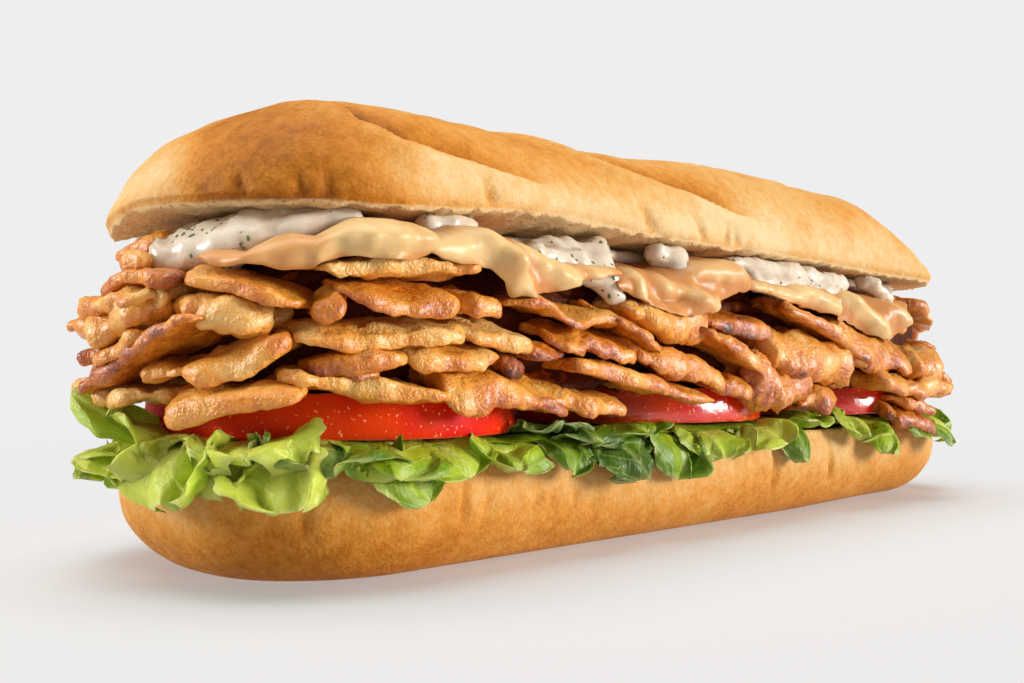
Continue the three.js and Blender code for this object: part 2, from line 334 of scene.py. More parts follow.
# %% Write shader maths as Python sums
class Wire:
    """One output of a shader node."""

    def __init__(self, finish, socket):
        self.finish = finish
        self.socket = socket

    def sum_of(self, operation, *values):
        settings = {"operation": operation}
        return self.finish.node("ShaderNodeMath", settings, dict(enumerate(values)))

    def __add__(self, other):
        return self.sum_of("ADD", self, other)

    def __sub__(self, other):
        return self.sum_of("SUBTRACT", self, other)

    def __rsub__(self, other):
        return self.sum_of("SUBTRACT", other, self)

    def __mul__(self, other):
        return self.sum_of("MULTIPLY", self, other)

    __radd__ = __add__
    __rmul__ = __mul__


class Finish:
    """A material that is built node by node."""

    def __init__(self, name):
        self.material = bpy.data.materials.new(name)
        self.material.use_nodes = True
        self.tree = self.material.node_tree
        self.skin = self.tree.nodes["Principled BSDF"]

    def node(self, kind, settings=None, sockets=None, output=0):
        """Adds a node, sets it up, feeds its sockets and gives one output."""
        made = self.tree.nodes.new(kind)
        for name, value in (settings or {}).items():
            if name == "stops":
                self.set_stops(made.color_ramp, value)
            else:
                setattr(made, name, value)
        self.feed(made, sockets or {})
        return Wire(self, made.outputs[output])

    def set_stops(self, ramp, stops):
        for _ in range(len(stops) - 2):
            ramp.elements.new(0.5)
        for element, (position, tone) in zip(ramp.elements, stops):
            element.position = position
            element.color = tone

    def feed(self, node, sockets):
        for name, value in sockets.items():
            if isinstance(value, Wire):
                self.tree.links.new(value.socket, node.inputs[name])
            else:
                node.inputs[name].default_value = value

    def place(self):
        return self.node("ShaderNodeTexCoord", output="Object")

    def mark(self, name):
        """A value that the mesh carries at every point."""
        return self.node("ShaderNodeAttribute", {"attribute_name": name}, output="Fac")

    def grain(self, size, detail=2.0, **more):
        """Noise from 0 to 1 whose lumps are size millimetres across."""
        sockets = {"Vector": self.place(), "Scale": 1 / (size * MM), "Detail": detail, **more}
        return self.node("ShaderNodeTexNoise", {}, sockets, output="Fac")

    def ramp(self, value, *stops):
        return self.node("ShaderNodeValToRGB", {"stops": stops}, {"Fac": value})

    def between(self, value, low, high):
        """0 below low and 1 above high."""
        return self.node(
            "ShaderNodeMapRange", {"interpolation_type": "SMOOTHSTEP"}, {0: value, 1: low, 2: high}
        )

    def blend(self, share, first, second):
        """A colour between two others."""
        return self.node(
            "ShaderNodeMix", {"data_type": "RGBA"}, {0: share, 6: first, 7: second}, output=2
        )

    def stripes(self, value, period, width):
        """1 on thin lines across a rising value, one line a period, and 0 between them."""
        wave = self.node("ShaderNodeMath", {"operation": "PINGPONG"}, {0: value, 1: period / 2})
        return 1 - self.between(wave, 0.0, width * period)

    def relief(self, height, depth):
        """A bumpy surface, depth millimetres from its lowest to its highest."""
        return self.node("ShaderNodeBump", {}, {"Height": height, "Distance": depth * MM})

    def surface(self, **sockets):
        """Feeds the surface itself. An underscore stands for a space in a socket's name."""
        self.feed(self.skin, {name.replace("_", " "): value for name, value in sockets.items()})
        print("finish:", self.material.name, "with", len(self.tree.nodes), "nodes")
        return self.material


def tone(red, green, blue):
    """A colour as a picture editor shows it, from 0 to 255, made ready for a shader."""
    shares = np.array([red, green, blue]) / 255
    linear = np.where(shares <= 0.04045, shares / 12.92, ((shares + 0.055) / 1.055) ** 2.4)
    return (*linear.tolist(), 1.0)


print("golden crust, as a shader takes it:", [round(part, 3) for part in tone(206, 138, 54)])

# %% [markdown]
# The photo's backdrop is one even pale grey, with only a soft shadow at the roll's foot. A lit
# floor alone would show a horizon, so the floor also glows faintly and, far from the sandwich,
# fades into the same grey as the sky. The sky looks bright to the camera only: on the food it
# shines faintly, so that the gaps between the slices stay dark.

# %% Make the sky
BACKDROP = 0.855
SKY_LIGHT = 0.11

scene = bpy.context.scene
scene.view_settings.view_transform = "Standard"
sky = bpy.data.worlds.new("sky")
sky.use_nodes = True
scene.world = sky
sky_nodes = sky.node_tree
background = sky_nodes.nodes["Background"]
background.inputs["Color"].default_value = (1, 1, 1, 1)
to_camera = sky_nodes.nodes.new("ShaderNodeLightPath").outputs["Is Camera Ray"]
sky_strength = sky_nodes.nodes.new("ShaderNodeMapRange")
sky_strength.inputs["To Min"].default_value = SKY_LIGHT
sky_strength.inputs["To Max"].default_value = BACKDROP
sky_nodes.links.new(to_camera, sky_strength.inputs["Value"])
sky_nodes.links.new(sky_strength.outputs["Result"], background.inputs["Strength"])
print("the sky shows as", BACKDROP, "and lights the food with", SKY_LIGHT)

# %% [markdown]
# The table is a disc far wider than the view. How far a spot is from the middle decides how
# much of its grey is painted, and so takes a shadow, and how much of it glows.

# %% Lay the table
FLOOR_GLOW = 0.33
FLOOR_TONE = 0.62
FLOOR_RADIUS = 30
GLOW_FROM = 0.19
GLOW_FULL = 0.5

table = Finish("table")
reach = table.node("ShaderNodeVectorMath", {"operation": "LENGTH"}, {0: table.place()}, "Value")
far = table.between(reach, GLOW_FROM, GLOW_FULL)
glow = FLOOR_GLOW + (BACKDROP - FLOOR_GLOW) * far
floor_tone = table.blend(far, (FLOOR_TONE,) * 3 + (1,), (0, 0, 0, 1))
table_finish = table.surface(Base_Color=floor_tone, Roughness=1.0, Specular_IOR_Level=0.0)
table.feed(table.skin, {"Emission Color": table.blend(glow, (0, 0, 0, 1), (1, 1, 1, 1))})
table.feed(table.skin, {"Emission Strength": 1.0})

floor_mesh = bpy.data.meshes.new("floor")
floor_form = bmesh.new()
bmesh.ops.create_circle(floor_form, cap_ends=True, segments=64, radius=FLOOR_RADIUS)
floor_form.to_mesh(floor_mesh)
floor_form.free()
floor_mesh.materials.append(table_finish)
floor = bpy.data.objects.new("floor", floor_mesh)
scene.collection.objects.link(floor)

# %% [markdown]
# Soft boxes are made here as wide sun lamps, because a sun's light is the same at both ends of
# the roll. One stands on the left and two on the right. The lowest stands where the wet wall of
# a tomato mirrors it to the camera, which is where the photo has the tomatoes' highlights. Low
# lights would also draw long shadows that the photo doesn't have: light linking keeps them off
# the table, as a photographer's flags would, and one wide light from above draws the short
# shadow round the foot.


# %% Set up the lights
def soft_light(name, place, strength, width, skips=None):
    """A sun lamp as wide as a soft box, shining from a place towards the sandwich."""
    data = bpy.data.lights.new(name, "SUN")
    data.energy = strength
    data.angle = math.radians(width)
    light = bpy.data.objects.new(name, data)
    light.location = place
    light.rotation_euler = (-Vector(place)).to_track_quat("-Z", "Y").to_euler()
    scene.collection.objects.link(light)
    if skips:
        kept_off = bpy.data.collections.new(name + "_keeps_off")
        kept_off.objects.link(skips)
        kept_off.collection_objects[0].light_linking.link_state = "EXCLUDE"
        light.light_linking.receiver_collection = kept_off
    print(f"{name}: strength {strength}, {width} degrees wide")


soft_light("left_light", (-1.80, 1.25, 0.90), strength=3.0, width=24, skips=floor)
soft_light("right_light", (1.25, -1.85, 0.55), strength=2.3, width=22, skips=floor)
soft_light("low_light", (1.14, -1.46, 0.22), strength=1.6, width=20, skips=floor)
soft_light("top_light", (-0.2, 0.2, 2.5), strength=2.2, width=60)

# %% [markdown]
# The crust is a thin baked skin, cream where it stayed covered, golden on the shoulders and
# orange brown on the crown. Its mottling is fine, so the big changes are marks on the mesh and
# the small ones noise. The mark on the mesh carries painted shade as well as the bake: darker
# where the near end faces the camera between the lights, in the creases and in the score
# valleys. The crumb is the soft white inside, with its pores painted darker as shade in them.


# %% Mix the crust and the crumb
def crust_finish():
    crust = Finish("crust")
    bake = crust.mark("bake")
    cloudy = crust.grain(14, 3)
    mottle = crust.grain(2.2, 3)
    speck = crust.grain(0.55, 2)
    amount = bake + 0.50 * (cloudy - 0.5) + 0.46 * (mottle - 0.5) + 0.26 * (speck - 0.5)
    bake_and_shade_tone = crust.ramp(
        amount,
        (0.0, tone(218, 188, 138)),
        (0.25, tone(214, 165, 98)),
        (0.5, tone(206, 138, 54)),
        (0.75, tone(180, 108, 22)),
        (1.0, tone(136, 72, 6)),
    )
    # The pores are painted darker, as shade in their hollows.
    pore_shade = crust.between(crust.grain(0.7, 1), 0.60, 0.72)
    inside = crust.blend(pore_shade, tone(214, 182, 134), tone(176, 132, 82))
    soft = crust.mark("crumb")
    height = 0.5 * crust.grain(0.8, 3) + 0.5 * mottle + soft * crust.grain(1.3, 3)
    return crust.surface(
        Base_Color=crust.blend(soft, bake_and_shade_tone, inside),
        Roughness=0.50 + 0.25 * crust.grain(3, 2) + 0.2 * soft,
        Normal=crust.relief(height, 0.45),
        Specular_IOR_Level=0.18,
        Subsurface_Weight=0.08,
        Subsurface_Scale=0.002,
        Subsurface_Radius=(1.0, 0.5, 0.25),
    )


CRUST_FINISH = crust_finish()

# %% [markdown]
# The upper half has three diagonal scores that opened in the oven, steep on the near lobe and
# gentle beyond it. Short creases rise from the cut edge where the soft bread was pressed. Both
# are real dents in the mesh, because their shadows show. They are noted here as they lie in the
# photo, in pixels, and the crown's height is noted in steps along the roll.

# %% Note the crown, the scores and the creases
PER_SIDE = 240
PER_END = 110
CROWN_LIP = 1.5
CROWN_POWER = 0.85
CROWN_PLACES = (-127, -118, -105, -90, -15, 10, 30, 75, 85, 95, 105, 115, 127)
CROWN_HEIGHTS = (71.5, 82, 84.7, 86.2, 86.2, 88.5, 88, 87, 83, 77, 73, 71, 66)
RIM_PLACES = (-124, -110, -100, -87, -74, -60, -44, -27, -7, 14, 38, 62, 97, 127)
RIM_LIFTS = (0.3, 0.6, 0.3, 1.0, 2.1, 2.4, 1.6, 0.9, 0.7, 0.7, 0.3, -0.5, -1.0, -1.0)
SCORE_DEPTH = 3.6
Score = namedtuple("Score", "strength behind edge")
SCORES = [
    Score(
        0.8,
        [(-120, 12), (-108, 0)],
        [(335, 104), (360, 121), (400, 135), (451, 150), (510, 171), (562, 193)],
    ),
    Score(
        1.0,
        [(-80, 24), (-58, 0)],
        [(585, 152), (610, 162), (638, 172), (687, 189), (743, 213), (770, 226)],
    ),
    Score(0.4, [(2, 12), (20, -12)], [(776, 184), (793, 191), (811, 197), (830, 203)]),
]
Crease = namedtuple("Crease", "foot top width depth")
TOP_CREASES = [
    Crease((209, 202), (196, 182), 0.9, 1.1),
    Crease((243, 200), (226, 130), 0.8, 1.2),
    Crease((304, 200), (294, 160), 0.8, 1.1),
    Crease((331, 201), (326, 165), 0.9, 1.4),
    Crease((493, 209), (487, 184), 1.2, 1.5),
    Crease((653, 234), (645, 193), 1.7, 1.8),
    Crease((706, 245), (696, 209), 1.1, 1.5),
    Crease((729, 249), (731, 231), 1.2, 2.0),
    Crease((739, 250), (737, 233), 1.1, 1.6),
]
BOTTOM_CREASES = [
    Crease((306, 571), (305, 510), 0.9, 1.2),
    Crease((470, 541), (465, 494), 0.9, 1.8),
    Crease((492, 536), (490, 505), 1.0, 1.2),
    Crease((529, 535), (541, 500), 0.9, 1.8),
    Crease((548, 530), (556, 504), 0.9, 1.4),
    Crease((572, 524), (580, 500), 1.1, 1.6),
    Crease((592, 520), (600, 496), 1.1, 1.3),
    Crease((780, 488), (777, 460), 1.3, 1.7),
    Crease((836, 478), (832, 448), 1.3, 1.7),
]
print(len(SCORES), "scores and", len(TOP_CREASES) + len(BOTTOM_CREASES), "creases")

# %% [markdown]
# Each half of the roll is a half profile swept round the spine, as a lathe sweeps a profile
# round an axis. Blender has a Screw modifier for that, but it knows only a straight axis, so
# the rings of points are worked out here: one ring for every point of the profile.


# %% Sweep a profile round the roll
def outline():
    """Spine place and way out for every station round the roll, starting at the front."""
    straight = np.linspace(-SPINE, SPINE, PER_SIDE, endpoint=False)
    turn = np.linspace(-np.pi / 2, np.pi / 2, PER_END, endpoint=False)
    spine = np.concatenate([straight, np.full(PER_END, SPINE), -straight, np.full(PER_END, -SPINE)])
    side = np.full(PER_SIDE, np.pi / 2)
    angle = np.concatenate([-side, turn, side, turn + np.pi])
    return spine, np.stack([np.cos(angle), np.sin(angle), 0 * angle], axis=-1)


def sweep(shares, heights):
    """Rings of points: a half profile of shares of the half width, swept round the spine."""
    spine, out = outline()
    reach = np.asarray(shares)[:, None, None] * HALF_WIDTH
    rings = reach * out[None]
    rings[..., 0] += spine[None]
    rings[..., 2] = np.asarray(heights)[:, None]
    return rings, out


def ring_normals(rings):
    """The way out of a skin over rings, straight down and up at its two ends."""
    along = np.roll(rings, -1, axis=1) - np.roll(rings, 1, axis=1)
    normals = unit(np.cross(along, np.gradient(rings, axis=0)) + 1e-6 * UP)
    normals[0], normals[-1] = -UP, UP
    return normals


print(len(outline()[0]), "points in every ring")

# %% [markdown]
# The crust is a dome over the cut, and steeper at its edge than a circle would be. Its rim isn't
# level: the photo shows it lifted where the filling is highest and sagging round the near end.


# %% Raise the crown and lift the rim
def crust_height(places):
    """The height of the upper half's crust above places, and nothing beyond its edge."""
    share = from_spine(places) / HALF_WIDTH
    crown = np.interp(places[..., 0], CROWN_PLACES, CROWN_HEIGHTS)
    climb = np.sqrt(1 - np.clip(share, 0, 1) ** (2 / CROWN_POWER))
    height = TOP_CUT + CROWN_LIP + (crown - TOP_CUT - CROWN_LIP) * climb
    return np.where(share < 1, height, -1000.0)


def rim_lift(rings):
    """How much higher than its level cut the upper half's rim lies, as the photo shows it."""
    lift = np.interp(rings[..., 0], RIM_PLACES, RIM_LIFTS) * fade(20, -10, rings[..., 1])
    sagging = 2.4 * fade(-6, 22, rings[..., 1]) * fade(-108, -122, rings[..., 0])
    near_rim = fade(0.6, 0.97, from_spine(rings) / HALF_WIDTH)
    return (lift - sagging) * near_rim * (1 - fade(TOP_CUT + 2, TOP_CUT + 12, rings[..., 2]))


print(f"over the middle of the roll the crust is {float(crust_height(np.zeros(3))):.1f} mm high")

# %% [markdown]
# A score is a cut that the oven pulls open: a sharp step down on one side, a raised ear on the
# other, and a toasted valley between. The valley is painted darker, partly as toast and partly
# as shade, and the ear a little paler, as a painted highlight. So it is drawn from one line on
# the crust, and each spot only needs to know how far across and along that line it lies.


# %% Open the scores
def score_line(score):
    """The edge of a score on the crust, from the back over the crown to the front."""
    behind = np.array([(x, y, 0.0) for x, y in score.behind])
    behind[:, 2] = crust_height(behind)
    edge = [first_seen(pixel, lambda track: track[:, 2] - crust_height(track)) for pixel in score.edge]
    return np.concatenate([behind, edge])


def beside_line(places, normals, line):
    """How far places lie across a line on a skin, and along it. Beyond its edge is positive."""
    nearest = np.full(places.shape[:-1], np.inf)
    across, along = np.zeros_like(nearest), np.zeros_like(nearest)
    start = 0.0
    for first, second in zip(line[:-1], line[1:]):
        way = second - first
        length = np.linalg.norm(way)
        part = np.clip((places - first) @ way / length**2, 0, 1)
        away = places - first - part[..., None] * way
        reach = np.linalg.norm(away, axis=-1)
        side = np.sign(np.sum(np.cross(way, away) * normals, axis=-1))
        closer = reach < nearest
        nearest = np.where(closer, reach, nearest)
        across = np.where(closer, reach * side, across)
        along = np.where(closer, start + part * length, along)
        start += length
    return across, along / start


def score_marks(places, normals):
    """How deep the scores cut, and how dark their opened floor is painted: toasted and shaded, with the ear
    a little paler as a painted highlight.
    """
    depth, toast_and_shade = 0, 0
    for number, score in enumerate(SCORES):
        across, along = beside_line(places, normals, score_line(score))
        across = across + 0.5 * uneven(places, 8, 71 + number)
        reach = fade(0.15, 0.55, along) * (1 - fade(0.8, 1.0, along))
        beyond = np.maximum(across, 0)
        valley = fade(-1.0, 0.6, across) * (0.35 * np.exp(-beyond / 2) + 0.65 * np.exp(-((beyond / 9) ** 2)))
        ear = np.exp(-(((across + 3.2) / 2.4) ** 2))
        reach = reach * score.strength
        depth = depth + reach * (SCORE_DEPTH * valley - 1.0 * ear)
        # Painted shade and toast on the valley floor, and a painted highlight on the ear.
        floor = fade(-0.8, 0.3, across) * (0.8 * np.exp(-beyond / 1.6) + 0.36 * np.exp(-((beyond / 8) ** 2)))
        toast_and_shade = toast_and_shade + reach * (floor - 0.10 * ear)
    return depth, toast_and_shade


print("the first score starts at", score_line(SCORES[0])[0].round(1))

# %% [markdown]
# A crease is narrow and shallow, and fades out upward. Those in front are placed by the photo,
# and those behind come from the valleys of a noise, so the back looks as worn as the front.


# %% Press the creases
def crease_depth(places, creases):
    """How deep the short creases press into the side. The halves paint the crust darker by the same depth,
    as shade in the creases.
    """
    depth = np.zeros(places.shape[:-1])
    for crease in creases:
        foot, top = seen(crease.foot), seen(crease.top)
        part = np.clip((places[..., 2] - foot[2]) / (top[2] - foot[2]), 0, 1)
        line = foot + (top - foot) * part[..., None]
        away = np.linalg.norm((places - line)[..., :2], axis=-1)
        beyond = np.maximum(np.abs(places[..., 2] - line[..., 2]) - 0.5, 0)
        strength = np.exp(-((away / crease.width) ** 2) - (beyond / 2) ** 2)
        depth = np.maximum(depth, crease.depth * strength * (1 - 0.7 * part))
    return depth


def far_creases(places, heights, seed):
    """Creases on the back, which the photo doesn't show, like those on the front."""
    walk = places[..., 0] + 3 * uneven(places, 14, seed)
    ridge = np.abs(uneven(np.stack([walk, 0 * walk, 0 * walk], axis=-1), 9, seed + 1))
    return fade(5, 20, places[..., 1]) * 0.8 * (1 - fade(0.0, 0.12, ridge)) * heights


crease_rises = [seen(crease.top)[2] - seen(crease.foot)[2] for crease in TOP_CREASES]
print(f"the longest crease rises {max(crease_rises):.0f} mm")

# %% [markdown]
# Both halves are made in the same order: the profile's points, then the soft unevenness of
# hand-shaped dough, the dents, and at last the marks that say how far each spot is baked, with
# painted shade in them too. The lower half is flat where it rests, tucked in at the near end
# and turned up at the far one.


# %% Bake the lower half
def bottom_half():
    turn = np.linspace(0, np.pi / 2, 26)
    foot_share = 0.62
    widest = 15
    shares = [0, 0.3, 0.5, *(foot_share + (1 - foot_share) * np.sin(turn))]
    heights = [0, 0, 0, *(widest * (1 - np.cos(turn)))]
    lip = np.linspace(0, 1, 8)[1:]
    shares += [*(1 - 0.035 * lip**2), 0.95, 0.9, 0.8, 0.6, 0.3, 0]
    heights += [*(widest + (BOTTOM_CUT - widest) * lip), *[BOTTOM_CUT] * 6]
    rings, out = sweep(shares, heights)
    height = rings[..., 2]
    share = from_spine(rings) / HALF_WIDTH
    flank = fade(0.5, 4, height) * (1 - fade(BOTTOM_CUT - 1.5, BOTTOM_CUT, height))
    dents = crease_depth(rings, BOTTOM_CREASES) + far_creases(rings, fade(4, 12, height), 31)
    swell = 0.8 * uneven(rings, 28, 3) + 0.22 * uneven(rings, 5, 4, 2)
    rings = rings + (flank * (swell - dents))[..., None] * out[None]
    x, y = rings[..., 0], rings[..., 1]
    tuck = (1.2 + 1.0 * fade(10, 2, height)) * fade(-100, -118, x) * fade(-18, 2, y)
    rings = rings - (tuck * fade(0.2, 0.8, share))[..., None] * out[None]
    x = rings[..., 0]
    rise = 1.0 * fade(30, 90, x) + 4.0 * fade(96, 126, x)
    rings[..., 2] += rise * fade(15, 0, height) * fade(0.4, 0.8, share)
    crumb = (height > BOTTOM_CUT - 0.2) & (share < 0.96)
    rings[..., 2] += crumb * 0.4 * uneven(rings, 2.5, 6, 2)
    # Painted shade: darker over the near end, where it faces the camera between the lights, and in the
    # creases. It is also darker low on the flank and paler at the very tip.
    bake = 0.70 - 0.26 * fade(4, 17, height) - 0.14 * fade(-100, -50, x)
    bake = bake - 0.10 * fade(112, 126, -x) + 0.20 * dents
    marks = {"bake": (bake, (0.5, 0.5)), "crumb": (crumb, (0, 1))}
    return skin_piece(rings, "lower_half", CRUST_FINISH, "crust", "bottom_bun", marks)


bottom_half()

# %% [markdown]
# The upper half is baked darkest on its crown. It is dark on the face of the near lobe, partly
# baked and partly painted shade where that face turns to the camera, and it stays pale along its
# sides. The scores and creases press along the skin's own way out, not straight down, so that
# they don't stretch on the steep flank.


# %% Bake the upper half
def top_half():
    turn = np.linspace(0, np.pi / 2, 56)[1:]
    climb = np.concatenate([np.zeros(11), np.sin(turn)])
    shares = [0, 0.3, 0.6, 0.8, 0.87, 0.91, 0.94, 0.962, 0.972, 0.982, 0.992]
    heights = [*[TOP_CUT] * 8, TOP_CUT + 0.3, TOP_CUT + 0.8, TOP_CUT + CROWN_LIP]
    shares += [*(np.cos(turn) ** CROWN_POWER)]
    heights += [TOP_CUT + CROWN_LIP] * len(turn)
    rings, out = sweep(shares, heights)
    crown = np.interp(rings[..., 0], CROWN_PLACES, CROWN_HEIGHTS)
    rings[..., 2] += (crown - TOP_CUT - CROWN_LIP) * climb[:, None]
    normals = ring_normals(rings)
    height = rings[..., 2]
    share = from_spine(rings) / HALF_WIDTH
    crust = fade(TOP_CUT, TOP_CUT + 3, height)
    scores, toast_and_shade = score_marks(rings, normals)
    dents = crease_depth(rings, TOP_CREASES) + far_creases(rings, 1 - fade(66, 76, height), 41)
    swell = 0.8 * uneven(rings, 26, 13) + 0.25 * uneven(rings, 7, 14, 2)
    crumb = (height < TOP_CUT + 0.4) & (share < 0.975)
    rim = fade(0.955, 0.99, share) * (1 - fade(TOP_CUT + 0.8, TOP_CUT + 2.4, height))
    rough = rim * (0.2 * uneven(rings, 2.2, 15, 2) - 0.1)
    lift = rim_lift(rings)
    rings = rings + (crust * (swell - dents - scores) + rough)[..., None] * normals
    rings[..., 2] += lift + crumb * 0.5 * uneven(rings, 2.2, 16, 2)
    x, y = rings[..., 0], rings[..., 1]
    bulge = 1.6 * fade(-98, -116, x) * fade(-18, 2, y) * fade(0.25, 0.8, share) * fade(80, 66, height)
    bake = 0.06 + 0.42 * fade(66, 80, height) * (1 - 0.45 * fade(-40, 30, x)) + 0.12 * fade(10, 60, x)
    # The near lobe's face is darkened, partly as bake and partly as painted shade where it turns to the
    # camera between the lights. Low on the near end, by the rim, the crust is darker still.
    lobe = fade(-88, -114, x) * fade(-3, -13, y - 0.7 * (height - 70))
    bake = bake + (0.80 - bake) * lobe + 0.2 * fade(68, 64, height) * fade(-70, -85, x) * (1 - lobe)
    # The score valleys darken, partly as toast and partly as painted shade, the creases darken as painted
    # shade, and the rim is browner.
    bake = bake + toast_and_shade * crust + 0.16 * dents + 0.08 * rim
    rings = rings + bulge[..., None] * out[None]
    marks = {"bake": (bake, (0.3, 0.6)), "crumb": (crumb, (1, 0))}
    return skin_piece(rings, "upper_half", CRUST_FINISH, "crust", "top_bun", marks)


top_half()

# %% [markdown]
# A tomato slice shows its skin all round and its wet flesh above and below: a firm outer wall,
# spokes, and seed chambers between them. The skin has tiny pale specks, partly its own dots and
# partly painted glints where droplets catch the light. In the photo the near slice is nearly matt
# and the two beyond it are wet, so the finish is mixed twice. Their walls lean in a little
# towards the top, as a slice's do, which is what lets them catch the low light.


# %% Slice the tomatoes
def tomato_finish(name, dull, shine):
    tomato = Finish(name)
    skin = tomato.mark("skin")
    patchy = tomato.grain(16, 2)
    specks_and_glints = tomato.between(tomato.grain(0.7, 1), 0.66, 0.72)
    red = tomato.blend(tomato.between(patchy, 0.35, 0.7), tone(208, 24, 2), tone(230, 62, 4))
    # Pale specks on the red: partly the skin's own dots, partly painted glints.
    red = tomato.blend(specks_and_glints * 0.8, red, tone(250, 170, 120))
    wall = tomato.blend(tomato.grain(2.5, 2), tone(205, 52, 28), tone(228, 104, 72))
    gel = tomato.blend(tomato.grain(1.5, 2), tone(200, 70, 20), tone(214, 120, 44))
    flesh = tomato.blend(tomato.mark("chamber"), wall, gel)
    return tomato.surface(
        Base_Color=tomato.blend(skin, flesh, red),
        Roughness=dull + 0.06 * tomato.grain(2, 2),
        Specular_IOR_Level=shine,
        Normal=tomato.relief(tomato.grain(1.1, 2) + specks_and_glints, 0.06),
        Subsurface_Weight=0.12,
        Subsurface_Scale=0.002,
        Subsurface_Radius=(1.0, 0.2, 0.1),
    )


DULL_TOMATO = tomato_finish("tomato_dull", 0.42, 0.08)
WET_TOMATO = tomato_finish("tomato_wet", 0.12, 1.0)
TOMATO_TURNS = 140
TOMATO_CHAMBERS = 5


def tomato_slice(number, finish):
    low, high = reach_of(f"tomato_slice_{number}")
    middle, half = (low + high) / 2, (high - low) / 2
    climb = np.linspace(-np.pi / 2, np.pi / 2, 17)
    face = np.linspace(0.05, 0.95, 14)
    wall = 0.98 + 0.02 * np.cos(climb) - 0.01 * np.sin(climb)
    shares = np.concatenate([face, wall, face[::-1]])
    levels = np.concatenate([0 * face - 1, np.sin(climb), 0 * face + 1])
    turn = np.linspace(0, 2 * np.pi, TOMATO_TURNS, endpoint=False)
    circle = np.stack([np.cos(turn), np.sin(turn), 0 * turn + number], axis=-1)
    lobed = 0.985 + 0.02 * uneven(circle, 0.9, number) + 0.004 * uneven(circle, 0.2, number)
    spokes = 0.5 + 0.5 * np.cos(turn * TOMATO_CHAMBERS + 2 * uneven(circle, 0.8, number + 5))
    hollow = fade(0.28, 0.4, shares) * (1 - fade(0.74, 0.82, shares))
    chamber = fade(0.25, 0.55, spokes)[None] * hollow[:, None]
    rings = np.empty((len(shares), TOMATO_TURNS, 3))
    rings[..., 0] = middle[0] + half[0] * shares[:, None] * (lobed * np.cos(turn))[None]
    rings[..., 1] = middle[1] + half[1] * shares[:, None] * (lobed * np.sin(turn))[None]
    rings[..., 2] = middle[2] + half[2] * levels[:, None] * (1 - 0.12 * chamber)
    rings[..., 2] += 0.15 * uneven(rings, 3, number, 2) * (np.abs(levels) > 0.99)[:, None]
    skin = np.broadcast_to((1 - (np.abs(levels) > 0.93))[:, None], rings.shape[:2])
    marks = {"skin": (skin, (0, 0)), "chamber": (chamber, (0, 0))}
    node = f"tomato_slice_{number}"
    return skin_piece(rings, f"tomato_{number}", finish, "tomato", node, marks)


for number, finish in ((1, DULL_TOMATO), (2, WET_TOMATO), (3, WET_TOMATO)):
    tomato_slice(number, finish)

# %% [markdown]
# The chicken is roasted on a spit: tan on its cut faces, browned at its edges, moist all over.
# One mark says how roasted a spot is, and carries painted shade too: darker on the undersides
# of the slices and darkest deep in the heap. Noise breaks it up into fibres and flecks. What
# lies deep in the heap gets a shaded copy of the meat with hardly any shine, because a highlight
# there would turn the dark gaps between the slices grey.


# %% Mix the roast chicken
def chicken_finish(name, shine, wet):
    meat = Finish(name)
    roast = meat.mark("roast")
    patch = meat.grain(4.5, 4, Roughness=0.65)
    grain = meat.grain(1.1, 3, Roughness=0.6)
    fleck = meat.between(meat.grain(2.0, 4), 0.58, 0.72)
    amount = roast + 0.75 * (patch - 0.5) + 0.40 * (grain - 0.5) + 0.22 * fleck
    meat_tone = meat.ramp(
        amount,
        (0.0, tone(236, 190, 112)),
        (0.25, tone(232, 161, 62)),
        (0.5, tone(217, 130, 29)),
        (0.75, tone(180, 86, 11)),
        (1.0, tone(78, 30, 5)),
    )
    height = 0.8 * grain + 0.25 * meat.grain(0.5, 2) + 1.2 * patch
    return meat.surface(
        Base_Color=meat_tone,
        Roughness=0.20 + 0.26 * meat.grain(2.6, 2),
        Normal=meat.relief(height, 0.65),
        Specular_IOR_Level=shine,
        Coat_Weight=wet,
        Coat_Roughness=0.26,
        Subsurface_Weight=0.18,
        Subsurface_Scale=0.0025,
        Subsurface_Radius=(1.0, 0.45, 0.2),
    )


CHICKEN_FINISH = chicken_finish("chicken", 0.65, 0.25)
# A shaded copy of the meat, with hardly any shine, for what lies deep in the heap.
SHADED_CHICKEN_FINISH = chicken_finish("chicken_inside_shaded", 0.06, 0.0)

# %% [markdown]
# The meat is shaved, so each slice is a thin uneven tongue with a ragged rim. It is a flat blob
# of rings whose outer part droops over the side of the heap. The droop matters most, because a
# level slice would show only its rim to a camera at its own height. Some slices are plump
# chunks instead, with a squarer rim and bigger lumps.

# %% Shave one slice
CHICKEN_TURNS = 96
INNER_SHARES = np.array([0.12, 0.3, 0.5, 0.7, 0.87])
CORNER = 4.5


def slice_outline(long, deep, corner, ragged, seed, turns):
    """The uneven rounded oblong of a slice lying level, and the way out at each of its points."""
    turn = np.linspace(0, 2 * np.pi, 720, endpoint=False)
    circle = np.stack([np.cos(turn), np.sin(turn)], axis=-1)
    corner = min(corner, 0.45 * long, 0.45 * deep)
    size = np.array([long / 2 - corner, deep / 2 - corner])
    oblong = size * np.clip(2.5 * circle, -1, 1) + corner * circle
    walked = np.cumsum(np.linalg.norm(oblong - np.roll(oblong, 1, axis=0), axis=-1))
    stops = np.linspace(walked[0], walked[-1], turns, endpoint=False)
    oblong = np.stack([np.interp(stops, walked, oblong[:, axis]) for axis in (0, 1)], axis=-1)
    along = unit(np.roll(oblong, -1, axis=0) - np.roll(oblong, 1, axis=0))
    out = np.stack([along[:, 1], -along[:, 0], np.zeros(turns)], axis=-1)
    places = np.concatenate([oblong, np.zeros((turns, 1))], axis=-1)
    waves = 1.1 * uneven(places, 7.5, seed) + 0.9 * uneven(places, 2.6, seed + 1, 2)
    places = places + (ragged * waves)[:, None] * out
    return places, out


